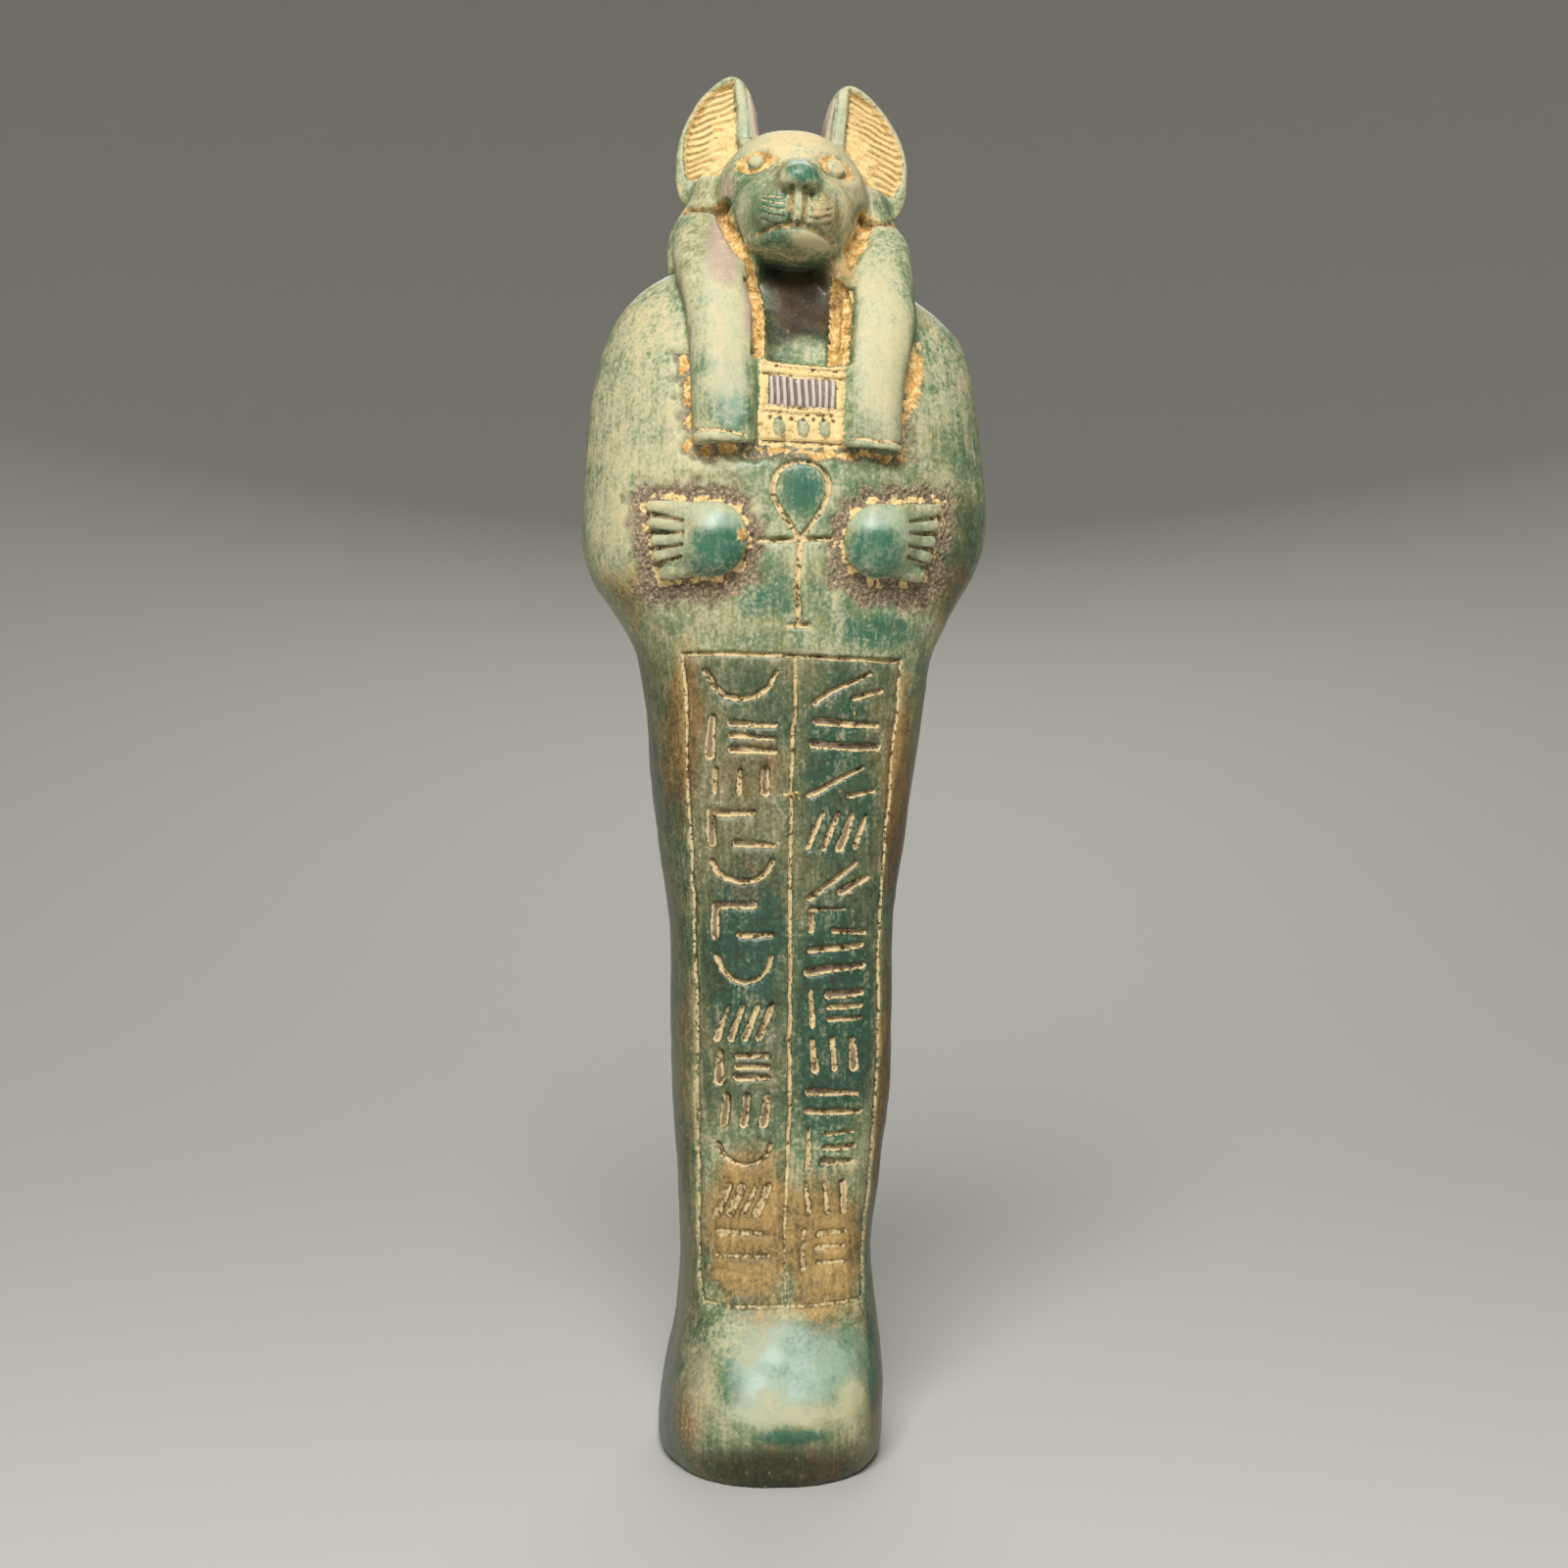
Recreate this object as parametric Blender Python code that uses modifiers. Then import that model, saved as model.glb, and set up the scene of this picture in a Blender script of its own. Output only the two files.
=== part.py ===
"""Mummiform statue of a cat-headed goddess, carved in one piece from glazed stone.

Metres, +Z up. The figure faces -Y and stands on the flat sole of its feet. The origin lies on the floor,
at the centre of the figure's bounding box. Run with: blender --background --python part.py
"""

import math
import random

import bmesh
import bpy
import numpy as np
from mathutils import Matrix, Vector

# Driving sizes, in metres
HEIGHT = 0.250
BREADTH = 0.0742
DEPTH = 0.0560

# The figure is laid out on a sculptor's grid, whose squares are 1 mm at the size above
SQUARES_WIDE = 74.2
SQUARES_DEEP = 56.0
SQUARES_HIGH = 250.0
GRID = np.array((BREADTH / SQUARES_WIDE, DEPTH / SQUARES_DEEP, HEIGHT / SQUARES_HIGH))

# Carved lines, in metres
LINE_WIDTH = 0.0017
LINE_DEPTH = 0.0009
FINE_LINE_WIDTH = 0.0010
FINE_LINE_DEPTH = 0.0005
EAR_DISH_DEPTH = 0.0016
HAND_HOLLOW_DEPTH = 0.0008

# How finely the block is worked
CARVING_STEP = 0.00055
SOFTENING_PASSES = 4
FINISHED_TRIANGLES = 9600
SOLE_SNAP = 0.0003

# Wrapped body, from the sole up: height, half breadth, front, back, squareness of the section
BODY = (
    (0.0, 18.9, 29.0, 16.4, 2.3),
    (1.0, 19.9, 29.9, 17.3, 2.3),
    (4.0, 20.3, 30.2, 17.7, 2.5),
    (9.0, 20.1, 30.2, 17.9, 2.8),
    (14.0, 19.7, 28.6, 17.7, 3.0),
    (20.0, 18.8, 24.6, 16.7, 3.0),
    (26.5, 18.0, 20.3, 15.7, 2.9),
    (34.0, 17.5, 18.0, 14.9, 2.8),
    (48.0, 18.4, 17.5, 14.9, 2.8),
    (64.0, 20.0, 18.0, 16.0, 2.8),
    (80.0, 20.3, 18.6, 16.9, 2.8),
    (95.0, 20.6, 19.0, 17.6, 2.8),
    (108.0, 22.4, 19.6, 18.6, 2.7),
    (122.0, 24.3, 20.3, 19.6, 2.6),
    (135.0, 25.9, 21.0, 20.6, 2.5),
    (144.0, 27.7, 21.7, 21.2, 2.4),
    (150.5, 31.1, 22.2, 21.6, 2.4),
    (157.0, 35.2, 22.7, 22.0, 2.4),
    (163.0, 37.2, 23.0, 22.3, 2.4),
    (170.0, 37.4, 23.1, 22.6, 2.4),
    (181.0, 36.7, 23.0, 22.8, 2.3),
    (190.0, 35.5, 22.4, 22.4, 2.3),
    (198.0, 33.7, 20.8, 21.4, 2.2),
    (204.0, 30.4, 18.2, 19.8, 2.2),
    (208.5, 25.2, 14.6, 17.4, 2.2),
    (211.5, 19.0, 10.6, 14.0, 2.2),
    (213.5, 8.0, 5.0, 8.0, 2.2),
)

# Back of the wig, from its hem up: height, half breadth, front, back, squareness
WIG = (
    (183.0, 18.2, 4.0, 24.8, 2.4),
    (184.6, 18.9, 4.0, 25.4, 2.4),
    (192.0, 19.6, 4.0, 25.4, 2.4),
    (200.0, 20.8, 4.0, 25.0, 2.3),
    (207.0, 21.8, 4.0, 24.2, 2.3),
    (213.0, 22.3, 6.0, 22.9, 2.2),
    (218.5, 22.0, 7.6, 21.7, 2.2),
    (222.0, 20.6, 7.6, 21.2, 2.2),
    (225.0, 18.8, 7.6, 20.6, 2.2),
    (230.0, 17.0, 7.2, 19.2, 2.2),
    (234.5, 13.6, 6.0, 16.4, 2.2),
    (237.4, 9.2, 4.0, 12.6, 2.2),
    (239.0, 3.0, 1.0, 7.0, 2.2),
)

# Right lappet of the wig, from under the ear down: height, distance from the middle, depth of its core,
# half breadth, half thickness
LAPPET = (
    (220.5, 15.4, -1.5, 4.6, 4.4),
    (216.5, 15.9, -6.0, 6.0, 4.9),
    (211.0, 15.8, -11.2, 6.5, 4.9),
    (205.0, 15.2, -15.4, 6.4, 4.7),
    (198.0, 14.3, -18.5, 6.1, 4.5),
    (189.0, 13.6, -20.5, 5.8, 4.3),
    (177.9, 13.2, -21.4, 5.7, 4.3),
)
LAPPET_SQUARENESS = 2.6

# The face looks a little to one side, by this much
HEAD_TURN = math.radians(2.0)

# Rounded forms of the head: centre, then radii. Those off the middle are cut on both sides
HEAD_FORMS = (
    ((0.0, -2.5, 225.0), (13.6, 14.5, 13.7)),
    ((4.2, -10.0, 218.0), (6.8, 9.6, 6.6)),
    ((0.0, -16.4, 218.8), (8.6, 10.4, 8.0)),
    ((3.3, -21.4, 218.3), (4.1, 5.2, 4.4)),
    ((0.0, -18.6, 212.8), (5.2, 7.8, 3.7)),
    ((0.0, -16.4, 226.2), (3.4, 9.2, 3.4)),
    ((0.0, -26.0, 224.1), (2.7, 3.2, 2.3)),
    ((1.9, -26.8, 222.5), (2.1, 2.6, 1.6)),
    ((8.4, -7.4, 211.6), (4.4, 8.4, 7.6)),
    ((0.0, -2.0, 204.0), (9.4, 11.0, 16.0)),
)

# The throat is cut back between the lappets, under the chin: height, half breadth, depth left standing
THROAT = ((192.6, 6.6, -20.2), (198.0, 6.9, -17.6), (204.0, 7.6, -14.4), (209.6, 8.4, -12.2))
THROAT_FRONT = -32.0

# Right ear: its outline from the tip round by the outer edge, its middle depth and its thickness
EAR_OUTLINE = (
    (10.4, 248.5),
    (13.9, 247.0),
    (18.1, 242.7),
    (20.7, 237.0),
    (21.2, 231.6),
    (20.9, 228.0),
    (19.2, 224.8),
    (14.5, 223.4),
    (9.0, 226.0),
    (6.4, 232.5),
    (6.1, 239.0),
    (7.6, 245.8),
)
EAR_DEPTH = 1.6
EAR_THICKNESS = 4.2
EAR_ROUNDING = 0.9
EAR_TURN = math.radians(10.0)
EAR_MIDDLE = (13.5, 1.6, 236.0)

# The dished face of the ear: its oval, how far its rim comes in, and where the inner bar and the lobe stop it
EAR_OVAL_CENTRE = (8.0, 234.2)
EAR_OVAL_RADII = (13.3, 15.0)
EAR_RIM = 0.7
EAR_BAR = ((9.0, 228.0), (10.4, 249.0))
EAR_LOBE_TOP = 229.0
EAR_DISH_EDGE = 1.0

# Right hand: the fist, then where the fingers start and end
FIST = ((14.2, -21.9, 162.0), (5.9, 4.9, 6.8))
FINGER_ROOT_X = 16.0
FINGER_TIPS_X = (26.2, 25.7, 25.2, 24.6, 23.4)
FINGER_ROOTS = (166.2, 164.2, 162.0, 159.9, 157.8)
FINGER_TIPS = (168.0, 165.1, 162.0, 159.3, 156.2)
FINGER_RADIUS = 1.45
FINGER_GAP_FROM = 17.6
HAND_HOLLOW = ((17.0, 162.0), (12.4, 10.4))

# The collar and the sign below it stand a little to one side of the body's middle
FRONT_MIDDLE = 0.9

# Collar between the lappets: its half breadth, its borders and its hanging drops
COLLAR_HALF = 6.2
COLLAR_BORDERS = (191.9, 190.4, 184.8, 178.9)
COLLAR_TUBES = 7
COLLAR_DROPS = 3
DROP_RADII = (1.1, 1.8)
DROP_HEIGHT = 181.9

# Life sign between the hands: its loop, its bar and its stem
ANKH_LOOP_CENTRE = 171.3
ANKH_LOOP_RADII = (5.2, 5.0)
ANKH_NECK = 162.4
ANKH_BAR_HALF = 5.7
ANKH_FOOT = (147.2, 1.7)

# Inscribed panel on the shins: height, half breadth
PANEL_EDGE = (
    (28.6, 14.5),
    (41.0, 14.9),
    (60.0, 15.9),
    (85.0, 16.3),
    (104.0, 17.1),
    (120.0, 18.2),
    (142.0, 19.4),
)
ROW_HEIGHT = 7.0
ROW_GAP = 1.5
PANEL_MARGIN = 1.9
STROKE_SEED = 11

# Eyes and mouth
EYE = (7.4, 229.3)
EYE_SOCKET = (4.6, 2.4)
EYE_SLANT = math.radians(-12.0)
EYEBALL = 1.9
MOUTH = ((0.0, 214.9), (2.0, 215.1), (4.4, 214.6), (6.2, 213.7))
PHILTRUM = (1.3, 215.4, 221.2)

# The stone was not cut quite true: how far its middle wanders sideways, and how far it slants, with height
WANDER = (
    (0.0, -3.3),
    (7.0, -3.1),
    (15.0, -2.5),
    (22.0, -2.05),
    (39.0, -1.9),
    (48.0, -1.5),
    (60.0, -1.1),
    (80.0, -0.9),
    (105.0, -1.0),
    (123.0, -0.75),
    (134.0, -0.3),
    (145.0, -0.5),
    (153.0, -0.7),
    (163.0, -0.4),
    (172.0, -0.1),
    (190.0, 0.0),
    (203.0, 0.9),
    (210.0, 0.3),
    (220.0, 0.6),
    (230.0, 1.1),
    (250.0, 1.2),
)
SLANT = (
    (0.0, 0.0),
    (100.0, 0.0),
    (122.0, 0.02),
    (142.0, 0.025),
    (156.0, 0.0),
    (168.0, 0.0),
    (182.0, 0.045),
    (205.0, 0.07),
    (216.0, 0.055),
    (250.0, 0.055),
)


def at(x, y, z):
    """A point or a size on the sculptor's grid, in metres."""
    return Vector((x * GRID[0], y * GRID[1], z * GRID[2]))


def on_grid(points):
    """Points in metres, counted in squares of the grid."""
    return points / GRID


def eased(value, start, end):
    """0 at start, 1 at end, with a smooth step between them."""
    share = np.clip((value - start) / (end - start), 0.0, 1.0)
    return share * share * (3.0 - 2.0 * share)


def through(stations, where):
    """A smooth curve through (station, value, ...) rows: cubic between rows, with each slope from the neighbours."""
    rows = np.array(stations, float)
    x, y = rows[:, 0], rows[:, 1:]
    slope = np.gradient(y, x, axis=0)
    where = np.clip(np.atleast_1d(where), x.min(), x.max())
    i = np.clip(np.searchsorted(x, where, side="right") - 1, 0, len(x) - 2)
    span = (x[i + 1] - x[i])[:, None]
    t = ((where - x[i])[:, None]) / span
    return (
        (2 * t**3 - 3 * t**2 + 1) * y[i]
        + (t**3 - 2 * t**2 + t) * span * slope[i]
        + (-2 * t**3 + 3 * t**2) * y[i + 1]
        + (t**3 - t**2) * span * slope[i + 1]
    )


def superellipse(half, front, back, squareness, sides=72):
    """Points round a section: |x / half|^n + |y / depth|^n = 1, with its own depth in front and behind."""
    angle = np.linspace(0.0, 2 * math.pi, sides, endpoint=False)
    across, along = np.cos(angle), np.sin(angle)
    x = half * np.sign(across) * np.abs(across) ** (2 / squareness)
    depth = np.where(along < 0, front, back)
    y = depth * np.sign(along) * np.abs(along) ** (2 / squareness)
    return np.stack((x, y), axis=1)


def loft(bm, rings):
    """A closed skin over rings of points, flat at both ends."""
    rows = [[bm.verts.new(point) for point in ring] for ring in rings]
    for low, high in zip(rows, rows[1:]):
        for i in range(len(low)):
            bm.faces.new((low[i - 1], low[i], high[i], high[i - 1]))
    bm.faces.new(rows[0])
    bm.faces.new(rows[-1])


def upright_loft(bm, stations, rings=70):
    """A loft up through level sections: height, half breadth, front, back, squareness."""
    heights = np.linspace(stations[0][0], stations[-1][0], rings)
    made = []
    for height, row in zip(heights, through(stations, heights)):
        section = superellipse(*row)
        made.append([at(x, y, height) for x, y in section])
    loft(bm, made)


def body_front(x, z):
    """Depth of the wrapped body's front at places on the grid."""
    half, front, _, squareness = through([row for row in BODY], z).T
    share = np.clip(np.abs(x) / half, 0.0, 0.98)
    return -front * (1 - share**squareness) ** (1 / squareness)


def ellipsoid(bm, centre, radii):
    matrix = Matrix.Translation(at(*centre)) @ Matrix.Diagonal((*at(*radii), 1.0))
    bmesh.ops.create_uvsphere(bm, u_segments=40, v_segments=24, radius=1.0, matrix=matrix)


def spindle(bm, tail, tip, radius):
    """A rounded form stretched from tail to tip."""
    start, end = at(*tail), at(*tip)
    along = end - start
    width = radius * GRID[2]
    turned = along.to_track_quat("X", "Z").to_matrix().to_4x4()
    shape = Matrix.Diagonal((along.length / 2, width, width, 1.0))
    matrix = Matrix.Translation((start + end) / 2) @ turned @ shape
    bmesh.ops.create_uvsphere(bm, u_segments=24, v_segments=16, radius=1.0, matrix=matrix)


def mirrored(point, side):
    return (point[0] * side, *point[1:])


def turned(point):
    """A point of the head after the head has turned."""
    x, y, z = point
    return (
        x * math.cos(HEAD_TURN) + y * math.sin(HEAD_TURN),
        y * math.cos(HEAD_TURN) - x * math.sin(HEAD_TURN),
        z,
    )


def head(bm):
    for centre, radii in HEAD_FORMS:
        for side in (1, -1) if centre[0] else (1,):
            ellipsoid(bm, turned(mirrored(centre, side)), radii)


def lappet(bm, side):
    """A flattened roll carried down a path, each ring square to it."""
    rows = np.array(LAPPET)
    heights = np.linspace(rows[0, 0], rows[-1, 0], 40)
    order = rows[::-1]
    shape = through(order, heights)
    path = np.stack((shape[:, 0], shape[:, 1], heights), axis=1)
    ahead = np.gradient(path, axis=0)
    rings = []
    for centre, way, (_, _, half, thick) in zip(path, ahead, shape):
        way = Vector(way).normalized()
        across = Vector((1.0, 0.0, 0.0))
        outward = way.cross(across).normalized()
        across = outward.cross(way)
        section = superellipse(half, thick, thick, LAPPET_SQUARENESS, sides=40)
        ring = [Vector(centre) + across * x + outward * y for x, y in section]
        rings.append([at(side * p.x, p.y, p.z) for p in ring])
    loft(bm, rings)


def hand(bm, side):
    centre, radii = FIST
    ellipsoid(bm, mirrored(centre, side), radii)
    for root, tip, tip_x in zip(FINGER_ROOTS, FINGER_TIPS, FINGER_TIPS_X):
        tail = (FINGER_ROOT_X - 4.0, FIST[0][1] - 1.4, root)
        end = (tip_x, body_front(tip_x, tip)[0] - 0.5, tip)
        spindle(bm, mirrored(tail, side), mirrored(end, side), FINGER_RADIUS)


def new_object(name, data, collection):
    obj = bpy.data.objects.new(name, data)
    collection.objects.link(obj)
    return obj


def mesh_from(bm, name):
    bmesh.ops.recalc_face_normals(bm, faces=bm.faces)
    mesh = bpy.data.meshes.new(name)
    bm.to_mesh(mesh)
    bm.free()
    return mesh


def evaluated_mesh(obj):
    bpy.context.view_layer.update()
    graph = bpy.context.evaluated_depsgraph_get()
    return bpy.data.meshes.new_from_object(obj.evaluated_get(graph))


def wrapped_body(collection):
    """The body's loft, with the throat cut back by a Boolean."""
    bm = bmesh.new()
    upright_loft(bm, BODY)
    body = new_object("wrapped_body", mesh_from(bm, "wrapped_body"), collection)
    bm = bmesh.new()
    rings = []
    for height, half, depth in THROAT:
        corners = ((-half, depth), (half, depth), (half, THROAT_FRONT), (-half, THROAT_FRONT))
        rings.append([at(x + FRONT_MIDDLE / 2, y, height) for x, y in corners])
    loft(bm, rings)
    cutter = new_object("throat_cut", mesh_from(bm, "throat_cut"), collection)
    cutter.hide_render = True
    cutter.display_type = "WIRE"
    cut = body.modifiers.new("throat", "BOOLEAN")
    cut.operation = "DIFFERENCE"
    cut.object = cutter
    return body


def ear(collection, side):
    """The ear's outline as a flat curve, thickened and with rounded rims."""
    curve = bpy.data.curves.new("ear", "CURVE")
    curve.dimensions = "2D"
    curve.fill_mode = "BOTH"
    curve.resolution_u = 8
    rounding = EAR_ROUNDING * GRID[1]
    curve.bevel_depth = rounding
    curve.bevel_resolution = 3
    curve.offset = -rounding
    curve.extrude = EAR_THICKNESS * GRID[1] / 2 - rounding
    spline = curve.splines.new("BEZIER")
    spline.use_cyclic_u = True
    spline.bezier_points.add(len(EAR_OUTLINE) - 1)
    for point, (x, z) in zip(spline.bezier_points, EAR_OUTLINE):
        place = at(side * (x - EAR_MIDDLE[0]), 0.0, z - EAR_MIDDLE[2])
        point.co = (place.x, place.z, 0.0)
        point.handle_left_type = point.handle_right_type = "AUTO"
    obj = new_object("ear", curve, collection)
    obj.location = at(side * EAR_MIDDLE[0], EAR_DEPTH, EAR_MIDDLE[2])
    obj.rotation_euler = (math.pi / 2, 0.0, side * EAR_TURN)
    return obj


def joined(bm, obj):
    """Adds an object's shape to bm, in place, and removes the object."""
    mesh = evaluated_mesh(obj)
    mesh.transform(obj.matrix_world)
    bm.from_mesh(mesh)
    bpy.data.meshes.remove(mesh)
    bpy.data.objects.remove(obj)


def rough_block(collection):
    """All the forms run together and melted into one skin."""
    bm = bmesh.new()
    upright_loft(bm, WIG, rings=40)
    head(bm)
    for side in (1, -1):
        lappet(bm, side)
        hand(bm, side)
    joined(bm, wrapped_body(collection))
    for side in (1, -1):
        joined(bm, ear(collection, side))
    bmesh.ops.remove_doubles(bm, verts=bm.verts, dist=1e-6)
    block = new_object("block", mesh_from(bm, "block"), collection)
    remesh = block.modifiers.new("one skin", "REMESH")
    remesh.mode = "VOXEL"
    remesh.voxel_size = CARVING_STEP
    smooth = block.modifiers.new("worn edges", "SMOOTH")
    smooth.factor = 0.5
    smooth.iterations = SOFTENING_PASSES
    return block


def line_distance(points, line):
    """Distance from flat points to the nearest piece of a line."""
    nearest = np.full(len(points), np.inf)
    for start, end in zip(line, line[1:]):
        start, end = np.array(start, float), np.array(end, float)
        along = end - start
        share = np.clip((points - start) @ along / max(along @ along, 1e-12), 0.0, 1.0)
        gap = points - start - share[:, None] * along
        nearest = np.minimum(nearest, np.hypot(gap[:, 0], gap[:, 1]))
    return nearest


def engraved(points, lines, width, depth):
    """Depth of grooves along lines on the grid, deepest in the middle of each."""
    half = width / GRID[2] / 2
    deepest = np.zeros(len(points))
    for line in lines:
        low, high = np.min(line, axis=0) - half, np.max(line, axis=0) + half
        near = np.flatnonzero(((points > low) & (points < high)).all(axis=1))
        cut = depth * (1.0 - eased(line_distance(points[near], line), 0.0, half))
        deepest[near] = np.maximum(deepest[near], cut)
    return deepest


def both_sides(lines):
    return [[(side * x, z) for x, z in line] for side in (1, -1) for line in lines]


def ankh_lines():
    """A loop drawn in to a neck, a bar across it and a stem with a small foot."""
    cx, cz = FRONT_MIDDLE, ANKH_LOOP_CENTRE
    rx, rz = ANKH_LOOP_RADII
    loop = [(cx, ANKH_NECK)]
    for i in range(15):
        angle = math.radians(-25.0 + 230.0 * i / 14)
        loop.append((cx + rx * math.cos(angle), cz + rz * math.sin(angle)))
    loop.append((cx, ANKH_NECK))
    foot, foot_half = ANKH_FOOT
    bar = [(cx - ANKH_BAR_HALF, ANKH_NECK), (cx + ANKH_BAR_HALF, ANKH_NECK)]
    return [loop, bar, [(cx, ANKH_NECK), (cx, foot)], [(cx - foot_half, foot), (cx + foot_half, foot)]]


def panel_half(z):
    return float(through(PANEL_EDGE, z)[0, 0])


def panel_lines():
    """The frame of the inscribed panel and the line down its middle."""
    low, high = PANEL_EDGE[0][0], PANEL_EDGE[-1][0]
    edge = [(panel_half(z), z) for z in np.linspace(low, high, 12)]
    sills = [[(-panel_half(z), z), (panel_half(z), z)] for z in (low, high)]
    return [*both_sides([edge]), *sills, [(0.0, low), (0.0, high)]]


def row_strokes(kind, rng):
    """One row of strokes that stand for writing: u runs from -1 to 1 across the column, v from 0 to 1 up the row."""
    skew = rng.uniform(-0.12, 0.12)
    if kind == "bars":
        return [[(-0.8, 0.25), (0.8, 0.25 + skew)], [(-0.75, 0.8), (0.75, 0.8 + skew)]]
    if kind == "ticks":
        return [[(u, 0.15), (u + skew, 0.85)] for u in (-0.6, 0.0, 0.6)]
    if kind == "slope":
        return [[(-0.8, 0.05 - skew), (0.5, 0.9)], [(0.15, 0.15), (0.8, 0.4 + skew)]]
    if kind == "sag":
        bow = [(0.8 * math.sin(a), 0.95 - 0.7 * math.cos(a)) for a in np.linspace(-1.4, 1.4, 7)]
        return [bow]
    if kind == "stack":
        post = [(-0.7, 0.0), (-0.7, 1.0)]
        return [post, *[[(-0.2, v), (0.75 + skew, v)] for v in (0.15, 0.5, 0.85)]]
    if kind == "fan":
        return [[(u, 0.1), (u + 0.35, 0.9)] for u in (-0.8, -0.4, 0.0, 0.4)]
    return [[(-0.75, 0.1), (-0.75, 0.85), (0.3, 0.85)], [(-0.1, 0.1), (0.8, 0.1 + skew)]]


def inscription():
    """Rows of strokes down the two columns of the panel, in a mixed but settled order."""
    rng = random.Random(STROKE_SEED)
    kinds = ("bars", "ticks", "slope", "sag", "stack", "fan", "corner")
    low, high = PANEL_EDGE[0][0] + PANEL_MARGIN, PANEL_EDGE[-1][0] - PANEL_MARGIN
    lines = []
    for side in (-1, 1):
        top = high
        last = None
        while top - ROW_HEIGHT > low:
            kind = rng.choice([k for k in kinds if k != last])
            last = kind
            tall = ROW_HEIGHT * rng.uniform(0.75, 1.15)
            half = panel_half(top - tall / 2) / 2 - PANEL_MARGIN
            middle = side * panel_half(top - tall / 2) / 2
            for stroke in row_strokes(kind, rng):
                lines.append([(middle + u * half, top - tall + v * tall) for u, v in stroke])
            top -= tall + ROW_GAP
    return lines


def collar_lines():
    """Borders, a row of upright tubes and the string the drops hang from."""
    left, right = FRONT_MIDDLE - COLLAR_HALF, FRONT_MIDDLE + COLLAR_HALF
    borders = [[(left, z), (right, z)] for z in COLLAR_BORDERS]
    low, high = COLLAR_BORDERS[2], COLLAR_BORDERS[1]
    xs = np.linspace(left, right, COLLAR_TUBES)
    return borders, [[(x, low), (x, high)] for x in xs]


def oval(points, centre, radii):
    """1 on an oval's edge, less inside it."""
    return np.hypot((points[:, 0] - centre[0]) / radii[0], (points[:, 1] - centre[1]) / radii[1])


def collar_relief(flat):
    """Grooves between the tubes and along the borders, with drops that stand out below."""
    borders, tubes = collar_lines()
    sunk = engraved(flat, borders, FINE_LINE_WIDTH, FINE_LINE_DEPTH)
    sunk = np.maximum(sunk, engraved(flat, tubes, FINE_LINE_WIDTH, FINE_LINE_DEPTH))
    raised = np.zeros(len(flat))
    for x in np.linspace(-COLLAR_HALF, COLLAR_HALF, COLLAR_DROPS + 2)[1:-1]:
        drop = oval(flat, (FRONT_MIDDLE + x, DROP_HEIGHT), DROP_RADII)
        raised += FINE_LINE_DEPTH * (1.0 - eased(drop, 0.5, 1.2))
    return raised - sunk


def hand_hollows(flat):
    """A shallow hollow round each hand, outside the hand itself."""
    sunk = np.zeros(len(flat))
    for side in (1, -1):
        spread = oval(flat, mirrored(HAND_HOLLOW[0], side), HAND_HOLLOW[1])
        sunk += HAND_HOLLOW_DEPTH * (1.0 - eased(spread, 0.75, 1.1))
    return -sunk


def finger_gaps():
    """Lines from the palm out between the fingers of both hands."""
    gaps = []
    for i in range(len(FINGER_TIPS) - 1):
        root = (FINGER_ROOTS[i] + FINGER_ROOTS[i + 1]) / 2
        tip = (FINGER_TIPS[i] + FINGER_TIPS[i + 1]) / 2
        gaps.append([(FINGER_GAP_FROM, root), (FINGER_TIPS_X[i] + 0.4, tip)])
    return both_sides(gaps)


def face_relief(flat):
    """Eyes in slanting sockets, the mouth and the two channels under the nose."""
    made = np.zeros(len(flat))
    for side in (1, -1):
        x, z = side * flat[:, 0] - EYE[0], flat[:, 1] - EYE[1]
        along = x * math.cos(EYE_SLANT) + z * math.sin(EYE_SLANT)
        up = z * math.cos(EYE_SLANT) - x * math.sin(EYE_SLANT)
        socket = np.hypot(along / EYE_SOCKET[0], up / EYE_SOCKET[1])
        made -= LINE_DEPTH * (1.0 - eased(socket, 0.6, 1.15))
        made += LINE_DEPTH * (1.0 - eased(np.hypot(x, z) / EYEBALL, 0.4, 1.0))
    made -= engraved(flat, both_sides([MOUTH]), LINE_WIDTH, LINE_DEPTH * 1.2)
    half, low, high = PHILTRUM
    made -= engraved(flat, both_sides([[(half, low), (half, high)]]), LINE_WIDTH, LINE_DEPTH)
    return made


def ear_relief(flat):
    """A dish inside the rim, the inner bar and the lobe."""
    x, z = np.abs(flat[:, 0]), flat[:, 1]
    spread = oval(np.stack((x, z), axis=1), EAR_OVAL_CENTRE, EAR_OVAL_RADII)
    (bar_x, bar_z), (top_x, top_z) = EAR_BAR
    bar = bar_x + (top_x - bar_x) * (z - bar_z) / (top_z - bar_z)
    inside = np.minimum((1.0 - spread) * EAR_OVAL_RADII[0] - EAR_RIM, x - bar)
    inside = np.minimum(inside, z - EAR_LOBE_TOP)
    return -EAR_DISH_DEPTH * eased(inside, 0.0, EAR_DISH_EDGE)


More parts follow.
